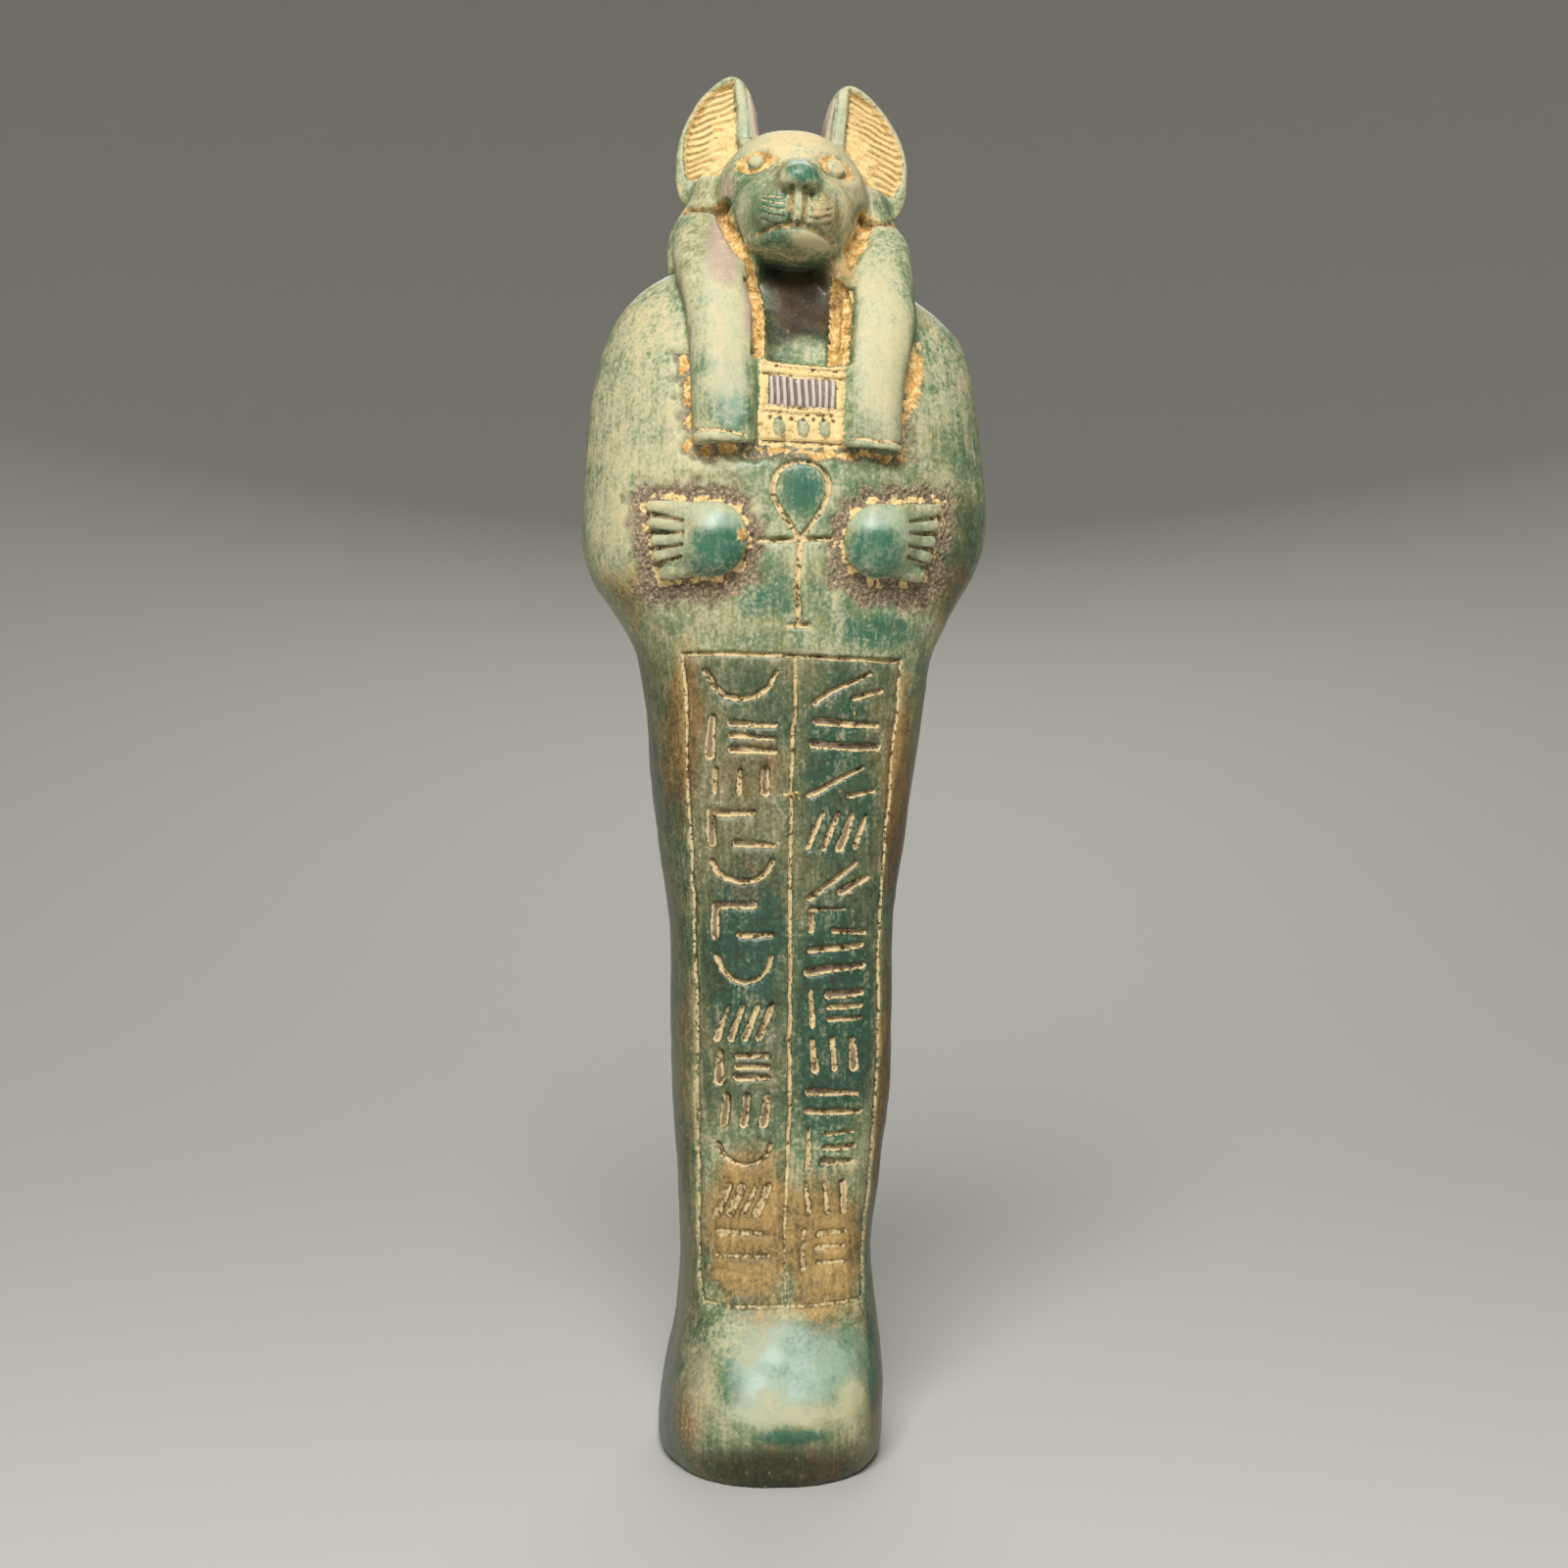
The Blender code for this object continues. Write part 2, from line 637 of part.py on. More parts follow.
def carving(points, normals):
    """How far each point of the front moves out along its normal, or in where it is below zero."""
    grid = on_grid(points)
    flat = grid[:, [0, 2]]
    x, y, z = grid.T
    facing = eased(-normals[:, 1], 0.1, 0.45)
    chest = -engraved(flat, ankh_lines(), LINE_WIDTH, LINE_DEPTH)
    chest -= engraved(flat, panel_lines(), LINE_WIDTH, LINE_DEPTH)
    chest -= engraved(flat, inscription(), LINE_WIDTH, LINE_DEPTH)
    on_body = 1.0 - eased(body_front(x, z) - y, 0.6, 1.6)
    chest += hand_hollows(flat) * on_body
    chest -= engraved(flat, finger_gaps(), LINE_WIDTH, LINE_DEPTH)
    chest += collar_relief(flat)
    chest[z > COLLAR_BORDERS[0] + 1.5] = 0.0
    face = face_relief(np.stack((x * math.cos(HEAD_TURN) - y * math.sin(HEAD_TURN), z), axis=1))
    face[(z < 207.0) | (y > -9.0)] = 0.0
    ears = ear_relief(flat)
    ears[(z < 223.0) | (y < -5.0)] = 0.0
    return (chest + face + ears) * facing


def carve(mesh):
    points = np.empty(len(mesh.vertices) * 3, np.float32)
    mesh.vertices.foreach_get("co", points)
    normals = np.empty_like(points)
    mesh.vertices.foreach_get("normal", normals)
    points = points.reshape(-1, 3).astype(float)
    normals = normals.reshape(-1, 3).astype(float)
    points += normals * carving(points, normals)[:, None]
    mesh.vertices.foreach_set("co", points.astype(np.float32).ravel())
    mesh.update()


def settle(mesh):
    """The stone's wander and slant, then the sole made flat and the figure centred over it, at its full size."""
    points = np.empty(len(mesh.vertices) * 3, np.float32)
    mesh.vertices.foreach_get("co", points)
    points = points.reshape(-1, 3).astype(float)
    x, _, z = on_grid(points).T
    points[:, 2] -= through(SLANT, z)[:, 0] * x * GRID[2]
    points[:, 0] += through(WANDER, z)[:, 0] * GRID[0]
    points[points[:, 2] < SOLE_SNAP, 2] = 0.0
    low, high = points.min(axis=0), points.max(axis=0)
    points -= ((low[0] + high[0]) / 2, (low[1] + high[1]) / 2, 0.0)
    points *= np.array((BREADTH, DEPTH, HEIGHT)) / (high - low)
    mesh.vertices.foreach_set("co", points.astype(np.float32).ravel())
    mesh.update()


def glazed_stone():
    material = bpy.data.materials.new("glazed stone")
    material.use_nodes = True
    shader = material.node_tree.nodes["Principled BSDF"]
    shader.inputs["Base Color"].default_value = (0.16, 0.27, 0.18, 1.0)
    shader.inputs["Roughness"].default_value = 0.45
    shader.inputs["Metallic"].default_value = 0.0
    return material


def statue(parts, construction):
    """The finished figure: the block, carved, then brought down to its number of triangles."""
    block = rough_block(construction)
    mesh = evaluated_mesh(block)
    bpy.data.objects.remove(block)
    carve(mesh)
    carved = new_object("carved", mesh, construction)
    carved.modifiers.new("triangles", "TRIANGULATE")
    fewer = carved.modifiers.new("fewer", "DECIMATE")
    fewer.ratio = FINISHED_TRIANGLES / (2.0 * len(mesh.polygons))
    finished = evaluated_mesh(carved)
    bpy.data.objects.remove(carved)
    settle(finished)
    finished.shade_smooth()
    finished.set_sharp_from_angle(angle=math.radians(50.0))
    finished.materials.clear()
    finished.materials.append(glazed_stone())
    return new_object("cat_statue", finished, parts)


def main():
    for obj in list(bpy.data.objects):
        bpy.data.objects.remove(obj)
    parts = bpy.data.collections.new("cat statue")
    construction = bpy.data.collections.new("cutters")
    for collection in (parts, construction):
        bpy.context.scene.collection.children.link(collection)
    statue(parts, construction)


main()
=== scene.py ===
"""Looks of the cat-headed mummiform statue: its finely carved surface in worn green glaze, a pale floor,
soft light and the camera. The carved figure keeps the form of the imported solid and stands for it."""

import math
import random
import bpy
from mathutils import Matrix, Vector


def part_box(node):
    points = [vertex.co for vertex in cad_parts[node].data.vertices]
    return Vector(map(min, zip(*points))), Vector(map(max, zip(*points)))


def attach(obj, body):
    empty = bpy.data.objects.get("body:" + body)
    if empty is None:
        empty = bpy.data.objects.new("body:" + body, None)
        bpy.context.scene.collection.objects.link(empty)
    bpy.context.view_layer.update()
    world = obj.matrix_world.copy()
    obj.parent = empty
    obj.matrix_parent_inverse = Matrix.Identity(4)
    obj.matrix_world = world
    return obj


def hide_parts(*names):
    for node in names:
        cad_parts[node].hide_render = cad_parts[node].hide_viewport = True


bl_info = {
    "name": "Cat-headed mummiform statue",
    "version": (1, 0, 0),
    "blender": (4, 5, 0),
    "location": "3D View > Sidebar > Statue",
    "description": "Carves the statue's visible surface on its packed solid's form and sets a stage round it",
    "category": "Object",
}

import bpy
import numpy as np
from mathutils import Vector

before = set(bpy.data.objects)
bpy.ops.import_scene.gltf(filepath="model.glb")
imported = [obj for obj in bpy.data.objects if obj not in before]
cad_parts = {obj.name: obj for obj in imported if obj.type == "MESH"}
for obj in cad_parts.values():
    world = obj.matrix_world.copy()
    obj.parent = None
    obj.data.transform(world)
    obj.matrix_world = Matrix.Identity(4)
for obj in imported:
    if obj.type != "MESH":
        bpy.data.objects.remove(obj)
SOLID = "cat_statue"
LOW, HIGH = (np.array(corner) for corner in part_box(SOLID))
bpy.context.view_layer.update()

# The figure is laid out on a sculptor's grid, whose squares are 1 mm on a statue 250 mm tall
SQUARES = np.array((74.2, 56.0, 250.0))
GRID = (HIGH - LOW) / SQUARES

# How finely the block is worked, in squares, and how often its joints and its hands and face are rubbed
CARVING_STEP = 0.3
SOFTENING_PASSES = 12
SOFT_PASSES = 24
HAND_RUB = ((15.6, 162.0), (7.4, 7.6), 0.9)
FACE_RUB = ((0.0, 219.5), (13.0, 12.0), 0.5)
SOLE_SNAP = 0.3

# Where the tools work: how far a form stands out from the wrapped body, and where the lappets, face and
# ears begin
BODY_PROUD = (0.6, 1.6)
LAPPET_PROUD = (1.6, 2.4)
LAPPET_REACH = (170.0, 206.0)
LAPPET_INSIDE = 7.0
FACE_FROM = (207.0, -9.0)
EAR_FROM = (223.0, -5.0)

# Low waves left by hand finishing: share, length and seed of each
TOOL_WAVES = ((0.7, 13.0, 7), (0.3, 4.0, 8))

# The foot of the panel is rubbed: between these heights, down to this share of its depth
RUBBED = (38.0, 62.0)
RUBBED_SHARE = 0.45

# The rough band: its reach from the hands' edge, how much further below them, and from the lappets
HAND_BAND = (0.8, 4.8)
BAND_BELOW = 1.5
LAPPET_BAND = (0.7, 3.0)
FRINGE = 0.9

# Wrapped body, from the sole up: height, half breadth, front, back, squareness of the section
BODY = (
    (0, 18.9, 29, 16.4, 2.3), (1, 19.9, 29.9, 17.3, 2.3), (4, 20.3, 30.2, 17.7, 2.5),
    (9, 20.1, 30.2, 17.9, 2.8), (14, 19.7, 28.6, 17.7, 3), (20, 18.8, 24.6, 16.7, 3),
    (26.5, 18, 20.3, 15.7, 2.9), (34, 17.5, 18, 14.9, 2.8), (48, 18.4, 17.5, 14.9, 2.8),
    (64, 20, 18, 16, 2.8), (80, 20.3, 18.6, 16.9, 2.8), (95, 20.6, 19, 17.6, 2.8),
    (108, 22.4, 19.6, 18.6, 2.7), (122, 24.3, 20.3, 19.6, 2.6), (135, 25.9, 21, 20.6, 2.5),
    (144, 27.7, 21.7, 21.2, 2.4), (150.5, 31.1, 22.2, 21.6, 2.4), (157, 35.2, 22.7, 22, 2.4),
    (163, 37.2, 23, 22.3, 2.4), (170, 37.4, 23.1, 22.6, 2.4), (181, 36.7, 23, 22.8, 2.3),
    (190, 35.5, 22.4, 22.4, 2.3), (198, 33.7, 20.8, 21.4, 2.2), (204, 30.4, 18.2, 19.8, 2.2),
    (208.5, 25.2, 14.6, 17.4, 2.2), (211.5, 19, 10.6, 14, 2.2), (213.5, 8, 5, 8, 2.2),
)

# Back of the wig, from its hem up: height, half breadth, front, back, squareness
WIG = (
    (183, 18.2, 4, 24.8, 2.4), (184.6, 18.9, 4, 25.4, 2.4), (192, 19.6, 4, 25.4, 2.4),
    (200, 20.8, 4, 25, 2.3), (207, 21.8, 4, 24.2, 2.3), (213, 22.3, 6, 22.9, 2.2),
    (218.5, 22, 7.6, 21.7, 2.2), (222, 20.6, 7.6, 21.2, 2.2), (225, 18.8, 7.6, 20.6, 2.2),
    (230, 17, 7.2, 19.2, 2.2), (234.2, 13.6, 6, 16.4, 2.2), (236.9, 9.2, 4, 12.6, 2.2),
    (238.4, 3, 1, 7, 2.2),
)

# Right lappet of the wig, from its hem up: height, distance from the middle, depth of its core, half breadth,
# half thickness
LAPPET = (
    (177.9, 13.2, -21.4, 5.7, 4.3), (189, 13.6, -20.5, 5.8, 4.3), (198, 14.3, -18.5, 6.1, 4.5),
    (205, 15.2, -15.4, 6.4, 4.7), (211, 15.8, -11.2, 6.5, 4.9), (216.5, 15.9, -6, 6, 4.9),
    (220.5, 15.4, -1.5, 4.6, 4.4),
)
LAPPET_SQUARENESS = 2.6
LAPPET_SHIFTS = {1: -0.3, -1: 0.6}
HEM_RIM = 178.7
HEM_FOOT = 177.2

# The face looks a little to one side, by this much
HEAD_TURN = math.radians(2.0)

# Rounded forms of the head: centre, then radii. Those off the middle are cut on both sides
HEAD_FORMS = (
    ((0, -2.5, 225), (14.3, 14.5, 13.2)), ((4.6, -9.6, 219), (7.4, 9.6, 7)),
    ((0, -11.6, 220.2), (11.2, 11.6, 8.8)), ((0, -16.4, 219), (8.4, 10, 7.2)),
    ((0, -13.4, 214.7), (8.9, 11.2, 3)), ((3.3, -20.8, 218.6), (4, 5.2, 4)),
    ((0, -16.4, 226), (3.7, 9.4, 3.3)), ((0, -24, 223.9), (3.9, 4.4, 2.9)),
    ((1.7, -24.4, 223), (2.3, 3.8, 1.5)), ((8.4, -7.4, 211.6), (4.4, 8.4, 7.6)),
    ((0, -2, 204), (9.4, 11, 16)),
)

# The throat is cut back between the lappets, under the chin: height, half breadth, depth left standing
THROAT = ((192.6, 6.6, -20.2), (198.0, 6.9, -17.6), (204.0, 7.6, -14.4), (209.6, 8.4, -12.2))
THROAT_FADE = 1.0

# Right ear: its outline from the tip round by the outer edge, then its middle and its thickness
EAR_OUTLINE = (
    (10.4, 248.5), (13.9, 247), (18.1, 242.7), (20.9, 237), (21.5, 231.6), (21.3, 228), (19.5, 224.8),
    (14.5, 223.4), (9, 226), (6.4, 232.5), (6.1, 239), (7.6, 245.8),
)
EAR_THICKNESS = 4.2
EAR_SQUARENESS = 6.0
EAR_TURN = math.radians(10.0)
EAR_MIDDLE = (13.5, 1.6, 236.0)

# How far each ear leans out from the upright, the right one first
EAR_LEANS = {1: math.radians(3.0), -1: math.radians(0.5)}
EAR_BREADTHS = {1: 1.09, -1: 0.99}

# The dished face of the ear: its oval, how far its rim comes in, and where the inner bar and the lobe stop it
EAR_OVAL_CENTRE = (8.0, 234.2)
EAR_OVAL_RADII = (13.3, 15.0)
EAR_RIM = 0.7
EAR_BAR = ((9.0, 228.0), (10.4, 249.0))
EAR_LOBE_TOP = 229.0
EAR_RIBS = 17
EAR_RIB_FALL = 0.35
EAR_BAR_LIP = 1.9

# Cracks left between each ear's lobe and the lappet, and between the jaw and the lappet
EAR_CREVICE = ((21.8, 223.6), (18.4, 222.6), (14.0, 222.4))
VALLEY_WIDTHS = {1: 1.5, -1: 1.0}
JAW_VALLEY = ((13.4, 222.5), (12.0, 218.0), (9.8, 213.5), (8.2, 209.0), (7.4, 203.0), (7.2, 194.0))

# Right hand: the fist, then where the fingers start and end
FIST = ((14.4, -21.9, 162.0), (6.8, 4.7, 6.9))
KNUCKLES = ((16.6, -21.2, 162.0), (5.6, 4.1, 6.4))
FINGER_TAIL_X = 12.0
FINGER_TIPS_X = (26.2, 25.7, 25.2, 24.6, 23.4)
FINGER_ROOTS = (166.2, 164.2, 162.0, 159.9, 157.8)
FINGER_TIPS = (168.0, 165.1, 162.0, 159.3, 156.2)
FINGER_RADIUS = 1.5
FINGER_BLUNTNESS = 5.0
FINGER_GAP_FROM = 20.2
FINGER_GAP_WIDTH = 0.9
HAND_EDGE = (
    (8.3, 162), (9.6, 166.2), (13.2, 168.8), (26.4, 169.4), (25.6, 162), (23.4, 154.9), (13.2, 155.2),
    (9.6, 157.6), (8.3, 162),
)

# The collar and the sign below it stand a little to one side of the body's middle
FRONT_MIDDLE = 0.9

# Collar between the lappets: its half breadth, its borders and its hanging drops
COLLAR_HALF = 7.0
COLLAR_BORDERS = (191.9, 190.4, 184.8, 183.7, 178.9)
COLLAR_TUBES = 10
COLLAR_DROPS = 3
DROP_RADII = (1.1, 1.6)
DROP_HEIGHT = 181.4
BEAD_HEIGHT = 182.9
COLLAR_BEADS = 7
BEAD_MARGIN = 1.4

# Life sign between the hands: its loop, its bar and its stem
ANKH_LOOP_CENTRE = 170.8
ANKH_LOOP_RADII = (5.1, 4.8)
ANKH_NECK = 162.0
ANKH_MIDDLE = 0.7
ANKH_BAR_ENDS = (-6.2, 6.2)
ANKH_FOOT = (147.2, 1.7)

# Inscribed panel on the shins: height, half breadth
PANEL_EDGE = (
    (28.6, 14.5), (41, 14.9), (60, 15.9), (85, 16.3), (104, 17.1), (120, 18.2), (142, 19.4),
)
ROW_HEIGHT = 7.0
ROW_GAP = 1.5
PANEL_MARGIN = 1.9
STROKE_SEED = 11

# Eyes, mouth and whiskers of the unturned face. The left eye is worn smaller than the right
EYE = (7.4, 229.5)
EYE_SOCKET = (4.0, 2.5)
EYE_SLANT = math.radians(-12.0)
EYEBALLS = {1: 2.1, -1: 1.6}
MOUTH = ((-7.2, 214.8), (-5.0, 215.2), (-2.8, 215.6), (0.0, 215.7), (2.8, 215.5), (5.0, 215.0), (6.9, 214.3))
MOUTH_WIDTH = 1.6
PHILTRUM = (1.25, 216.0, 221.6)
PHILTRUM_WIDTH = 1.3
NOSTRIL = (2.5, 221.2)
WHISKERS = 5
WHISKER_ENDS = (2.3, 6.2)
WHISKER_HEIGHTS = (215.9, 220.4)
WHISKER_RISE = 1.5
WHISKER_WIDTH = 0.6

# The stone was not cut quite true: how far its middle wanders sideways, and how far it slants, with height
WANDER = (
    (0, -3.3), (7, -3.1), (15, -2.5), (22, -2.05), (39, -1.9), (48, -1.5), (60, -1.1), (80, -0.9),
    (105, -1), (123, -0.75), (134, -0.3), (145, -0.5), (153, -0.7), (163, -0.4), (172, -0.1), (190, 0),
    (203, 0.9), (210, 0.3), (220, 0.6), (230, 1.1), (250, 1.2),
)
SLANT = (
    (0, 0), (100, 0), (122, 0.02), (142, 0.025), (156, 0), (168, 0), (182, 0.045), (205, 0.07),
    (216, 0.055), (250, 0.055),
)


def eased(value, start, end):
    """0 at start, 1 at end, with a smooth step between them."""
    share = np.clip((value - start) / (end - start), 0.0, 1.0)
    return share * share * (3.0 - 2.0 * share)


def through(stations, where):
    """A smooth curve through (station, value, ...) rows: cubic, with each slope from its neighbours."""
    rows = np.array(stations, float)
    x, y = rows[:, 0], rows[:, 1:]
    slope = np.gradient(y, x, axis=0)
    where = np.clip(np.atleast_1d(where), x.min(), x.max())
    i = np.clip(np.searchsorted(x, where, side="right") - 1, 0, len(x) - 2)
    span = (x[i + 1] - x[i])[:, None]
    t = ((where - x[i])[:, None]) / span
    return (
        (2 * t**3 - 3 * t**2 + 1) * y[i]
        + (t**3 - 2 * t**2 + t) * span * slope[i]
        + (-2 * t**3 + 3 * t**2) * y[i + 1]
        + (t**3 - t**2) * span * slope[i + 1]
    )


def ripple(points, length, seed, waves=14):
    """An uneven smooth field: the sum of sine waves of about one length that run in many directions."""
    rng = np.random.default_rng(seed)
    ways = rng.normal(size=(waves, points.shape[1]))
    ways /= np.linalg.norm(ways, axis=1, keepdims=True)
    lengths = length * rng.uniform(0.7, 1.5, waves)
    starts = rng.uniform(0.0, 2 * math.pi, waves)
    total = np.zeros(len(points))
    for way, one, start in zip(ways, lengths, starts):
        total += np.sin(points @ way * (2 * math.pi / one) + start)
    return total / math.sqrt(waves / 2)


def power(value, exponent):
    """value to the exponent, with its sign kept."""
    return np.sign(value) * np.abs(value) ** exponent


def skin(rows):
    """Points and faces of a closed skin over rows of rings, each end drawn in to its ring's middle."""
    count, round_count = rows.shape[:2]
    points = np.concatenate((rows.reshape(-1, 3), rows[[0, -1]].mean(axis=1)))
    i, j = np.meshgrid(np.arange(count - 1), np.arange(round_count), indexing="ij")
    low, next_low = i * round_count + j, i * round_count + (j + 1) % round_count
    sides = np.stack((low, next_low, next_low + round_count, low + round_count), axis=-1).reshape(-1, 4)
    ring = np.arange(round_count)
    following = (ring + 1) % round_count
    first, last = count * round_count, count * round_count + 1
    start = np.stack((np.full(round_count, first), following, ring), axis=-1)
    top = (count - 1) * round_count
    end = np.stack((np.full(round_count, last), top + ring, top + following), axis=-1)
    return points, sides, np.concatenate((start, end))


def outward(shape):
    """The same skin with its faces turned outwards: its volume, summed over its triangles, is above zero."""
    points, sides, ends = shape
    triangles = np.concatenate((sides[:, :3], sides[:, [0, 2, 3]], ends))
    a, b, c = (points[triangles[:, k]] for k in range(3))
    if np.einsum("ij,ij->i", a, np.cross(b, c)).sum() < 0:
        return points, sides[:, ::-1], ends[:, ::-1]
    return shape


def upright(stations, rows, columns):
    """Level sections up the stations: x = half·cos^(2/n), y = front or back·sin^(2/n), n squareness."""
    z = np.linspace(stations[0][0], stations[-1][0], rows)
    half, front, back, squareness = through(stations, z).T[..., None]
    turn = np.linspace(0.0, 2 * math.pi, columns, endpoint=False)[None, :]
    across, along = np.cos(turn), np.sin(turn)
    x = half * power(across, 2 / squareness)
    y = np.where(along < 0, front, back) * power(along, 2 / squareness)
    return np.stack((x, y, z[:, None] + np.zeros_like(x)), axis=-1)


def wrapped_body():
    """The body's sections, with the front pushed back to the throat's depth where the throat is open."""
    rows = upright(BODY, 560, 560)
    x, y, z = np.moveaxis(rows, -1, 0)
    half, depth = (column.reshape(z.shape) for column in through(THROAT, z.ravel()).T)
    inside = eased(half - np.abs(x - FRONT_MIDDLE / 2), 0.0, THROAT_FADE)
    inside *= eased(z, THROAT[0][0] - 0.4, THROAT[0][0] + 0.4) * (1.0 - eased(z, 209.6, 211.5))
    rows[..., 1] = np.where(y < 0, y + inside * np.maximum(0.0, depth - y), y)
    return rows


def ellipsoid(centre, radii, rows=60, columns=90):
    """Centre plus radii times (sin s cos t, sin s sin t, -cos s)."""
    s = np.linspace(0.02, math.pi - 0.02, rows)[:, None]
    t = np.linspace(0.0, 2 * math.pi, columns, endpoint=False)[None, :]
    unit = np.stack((np.sin(s) * np.cos(t), np.sin(s) * np.sin(t), -np.cos(s) + 0 * t), axis=-1)
    return np.array(centre) + np.array(radii) * unit


def turned(rows):
    """Points of the head after the head has turned about the upright axis."""
    x, y, z = np.moveaxis(rows, -1, 0)
    cosine, sine = math.cos(HEAD_TURN), math.sin(HEAD_TURN)
    return np.stack((x * cosine + y * sine, y * cosine - x * sine, z), axis=-1)


def lappet():
    """A flattened roll: a superellipse carried up a path in the plane x, y, z, square to the path."""
    z = np.linspace(LAPPET[0][0], LAPPET[-1][0], 160)
    middle, core, half, thick = through(LAPPET, z).T
    path = np.stack((middle, core, z), axis=-1)
    ahead = np.gradient(path, axis=0)
    ahead /= np.linalg.norm(ahead, axis=1, keepdims=True)
    outwards = np.cross(ahead, (1.0, 0.0, 0.0))
    outwards /= np.linalg.norm(outwards, axis=1, keepdims=True)
    across = np.cross(outwards, ahead)
    t = np.linspace(0.0, 2 * math.pi, 120, endpoint=False)
    wide = half[:, None] * power(np.cos(t), 2 / LAPPET_SQUARENESS)
    deep = thick[:, None] * power(np.sin(t), 2 / LAPPET_SQUARENESS)
    return path[:, None] + across[:, None] * wide[..., None] + outwards[:, None] * deep[..., None]


def body_front(x, z):
    """Depth of the wrapped body's front at places on the grid."""
    half, front, _, squareness = through(BODY, z).T
    share = np.clip(np.abs(x) / half, 0.0, 0.98)
    return -front * (1 - share**squareness) ** (1 / squareness)


def finger(root, tip, tip_x):
    """A blunt roll from inside the fist to the tip, its radius as (1 - |u|^p)^(1/p), u from -1 to 1."""
    tail = np.array((FINGER_TAIL_X, FIST[0][1] - 3.2, root))
    end = np.array((tip_x, body_front(tip_x, tip)[0] - 0.5, tip))
    u = -np.cos(np.linspace(0.03, math.pi - 0.03, 40))
    radius = FINGER_RADIUS * (1.0 - np.abs(u) ** FINGER_BLUNTNESS) ** (1 / FINGER_BLUNTNESS)
    path = tail + (end - tail) * ((u + 1) / 2)[:, None]
    ahead = (end - tail) / np.linalg.norm(end - tail)
    outwards = np.cross(ahead, (0.0, 0.0, 1.0))
    outwards /= np.linalg.norm(outwards)
    upwards = np.cross(outwards, ahead)
    t = np.linspace(0.0, 2 * math.pi, 36, endpoint=False)[None, :, None]
    return path[:, None] + radius[:, None, None] * (np.cos(t) * outwards + np.sin(t) * upwards)


def closed_curve(corners, count):
    """A smooth closed curve through the corners, evenly stepped in its parameter."""
    wrapped = np.array(corners[-2:] + corners + corners[:2], float)
    stations = np.column_stack((np.arange(len(wrapped)) - 2.0, wrapped))
    return through(stations, np.linspace(0.0, len(corners), count, endpoint=False))


def leaned(x, z, angle):
    """Flat places turned outwards by an angle about the ear's middle."""
    x, z = x - EAR_MIDDLE[0], z - EAR_MIDDLE[2]
    cosine, sine = math.cos(angle), math.sin(angle)
    return EAR_MIDDLE[0] + x * cosine + z * sine, EAR_MIDDLE[2] + z * cosine - x * sine


def ear(side):
    """A flat pillow: out from the middle by sin^(2/n), back by -cos^(2/n) times half the thickness."""
    edge = closed_curve(EAR_OUTLINE, 220) - (EAR_MIDDLE[0], EAR_MIDDLE[2])
    s = np.linspace(0.0004, math.pi - 0.0004, 150)
    s = s - 0.48 * np.sin(2 * s)
    out = power(np.sin(s), 2 / EAR_SQUARENESS)[:, None]
    deep = -power(np.cos(s), 2 / EAR_SQUARENESS)[:, None] * EAR_THICKNESS / 2
    x, y, z = out * edge[:, 0], deep + 0 * out * edge[:, 0], out * edge[:, 1]
    cosine, sine = math.cos(EAR_TURN), math.sin(EAR_TURN)
    x, y = x * cosine - y * sine, x * sine + y * cosine + EAR_MIDDLE[1]
    x = EAR_MIDDLE[0] + x * EAR_BREADTHS[side]
    x, z = leaned(x, z + EAR_MIDDLE[2], EAR_LEANS[side])
    return np.stack((side * x, y, z), axis=-1)


def forms():
    """Every form of the figure as rows of rings, those off the middle on both sides."""
    made = [wrapped_body(), upright(WIG, 180, 220), ear(1), ear(-1)]
    made += [lappet() * (side, 1, 1) + (LAPPET_SHIFTS[side], 0, 0) for side in (1, -1)]
    both = [ellipsoid(*FIST), ellipsoid(*KNUCKLES)]
    both += [finger(*one) for one in zip(FINGER_ROOTS, FINGER_TIPS, FINGER_TIPS_X)]
    for centre, radii in HEAD_FORMS:
        rows = ellipsoid(centre, radii)
        made.append(turned(rows))
        if centre[0]:
            made.append(turned(rows * (-1, 1, 1)))
    for rows in both:
        made += [rows, rows * (-1, 1, 1)]
    return made


def mesh_of(shapes, name):
    """One mesh that holds all the skins."""
    points, faces, count = [], [], 0
    for own, sides, ends in shapes:
        points.append(own)
        faces += [sides + count, ends + count]
        count += len(own)
    corners = np.concatenate([block.ravel() for block in faces])
    sizes = np.concatenate([np.full(len(block), block.shape[1]) for block in faces])
    mesh = bpy.data.meshes.new(name)
    mesh.vertices.add(count)
    mesh.vertices.foreach_set("co", np.concatenate(points).astype(np.float32).ravel())
    mesh.loops.add(len(corners))
    mesh.loops.foreach_set("vertex_index", corners.astype(np.int32))
    mesh.polygons.add(len(sizes))
    mesh.polygons.foreach_set("loop_start", (np.cumsum(sizes) - sizes).astype(np.int32))
    mesh.update(calc_edges=True)
    mesh.validate()
    return mesh


def new_object(name, data):
    obj = bpy.data.objects.new(name, data)
    bpy.context.scene.collection.objects.link(obj)
    return obj


def finished_mesh(obj):
    """The object's mesh with its modifiers applied. The object is removed."""
    bpy.context.view_layer.update()
    graph = bpy.context.evaluated_depsgraph_get()
    mesh = bpy.data.meshes.new_from_object(obj.evaluated_get(graph))
    bpy.data.objects.remove(obj)
    return mesh


def points_of(mesh, what="co"):
    values = np.empty(len(mesh.vertices) * 3, np.float32)
    mesh.vertices.foreach_get(what, values)
    return values.reshape(-1, 3).astype(float)


def place(mesh, points):
    mesh.vertices.foreach_set("co", points.astype(np.float32).ravel())
    mesh.update()


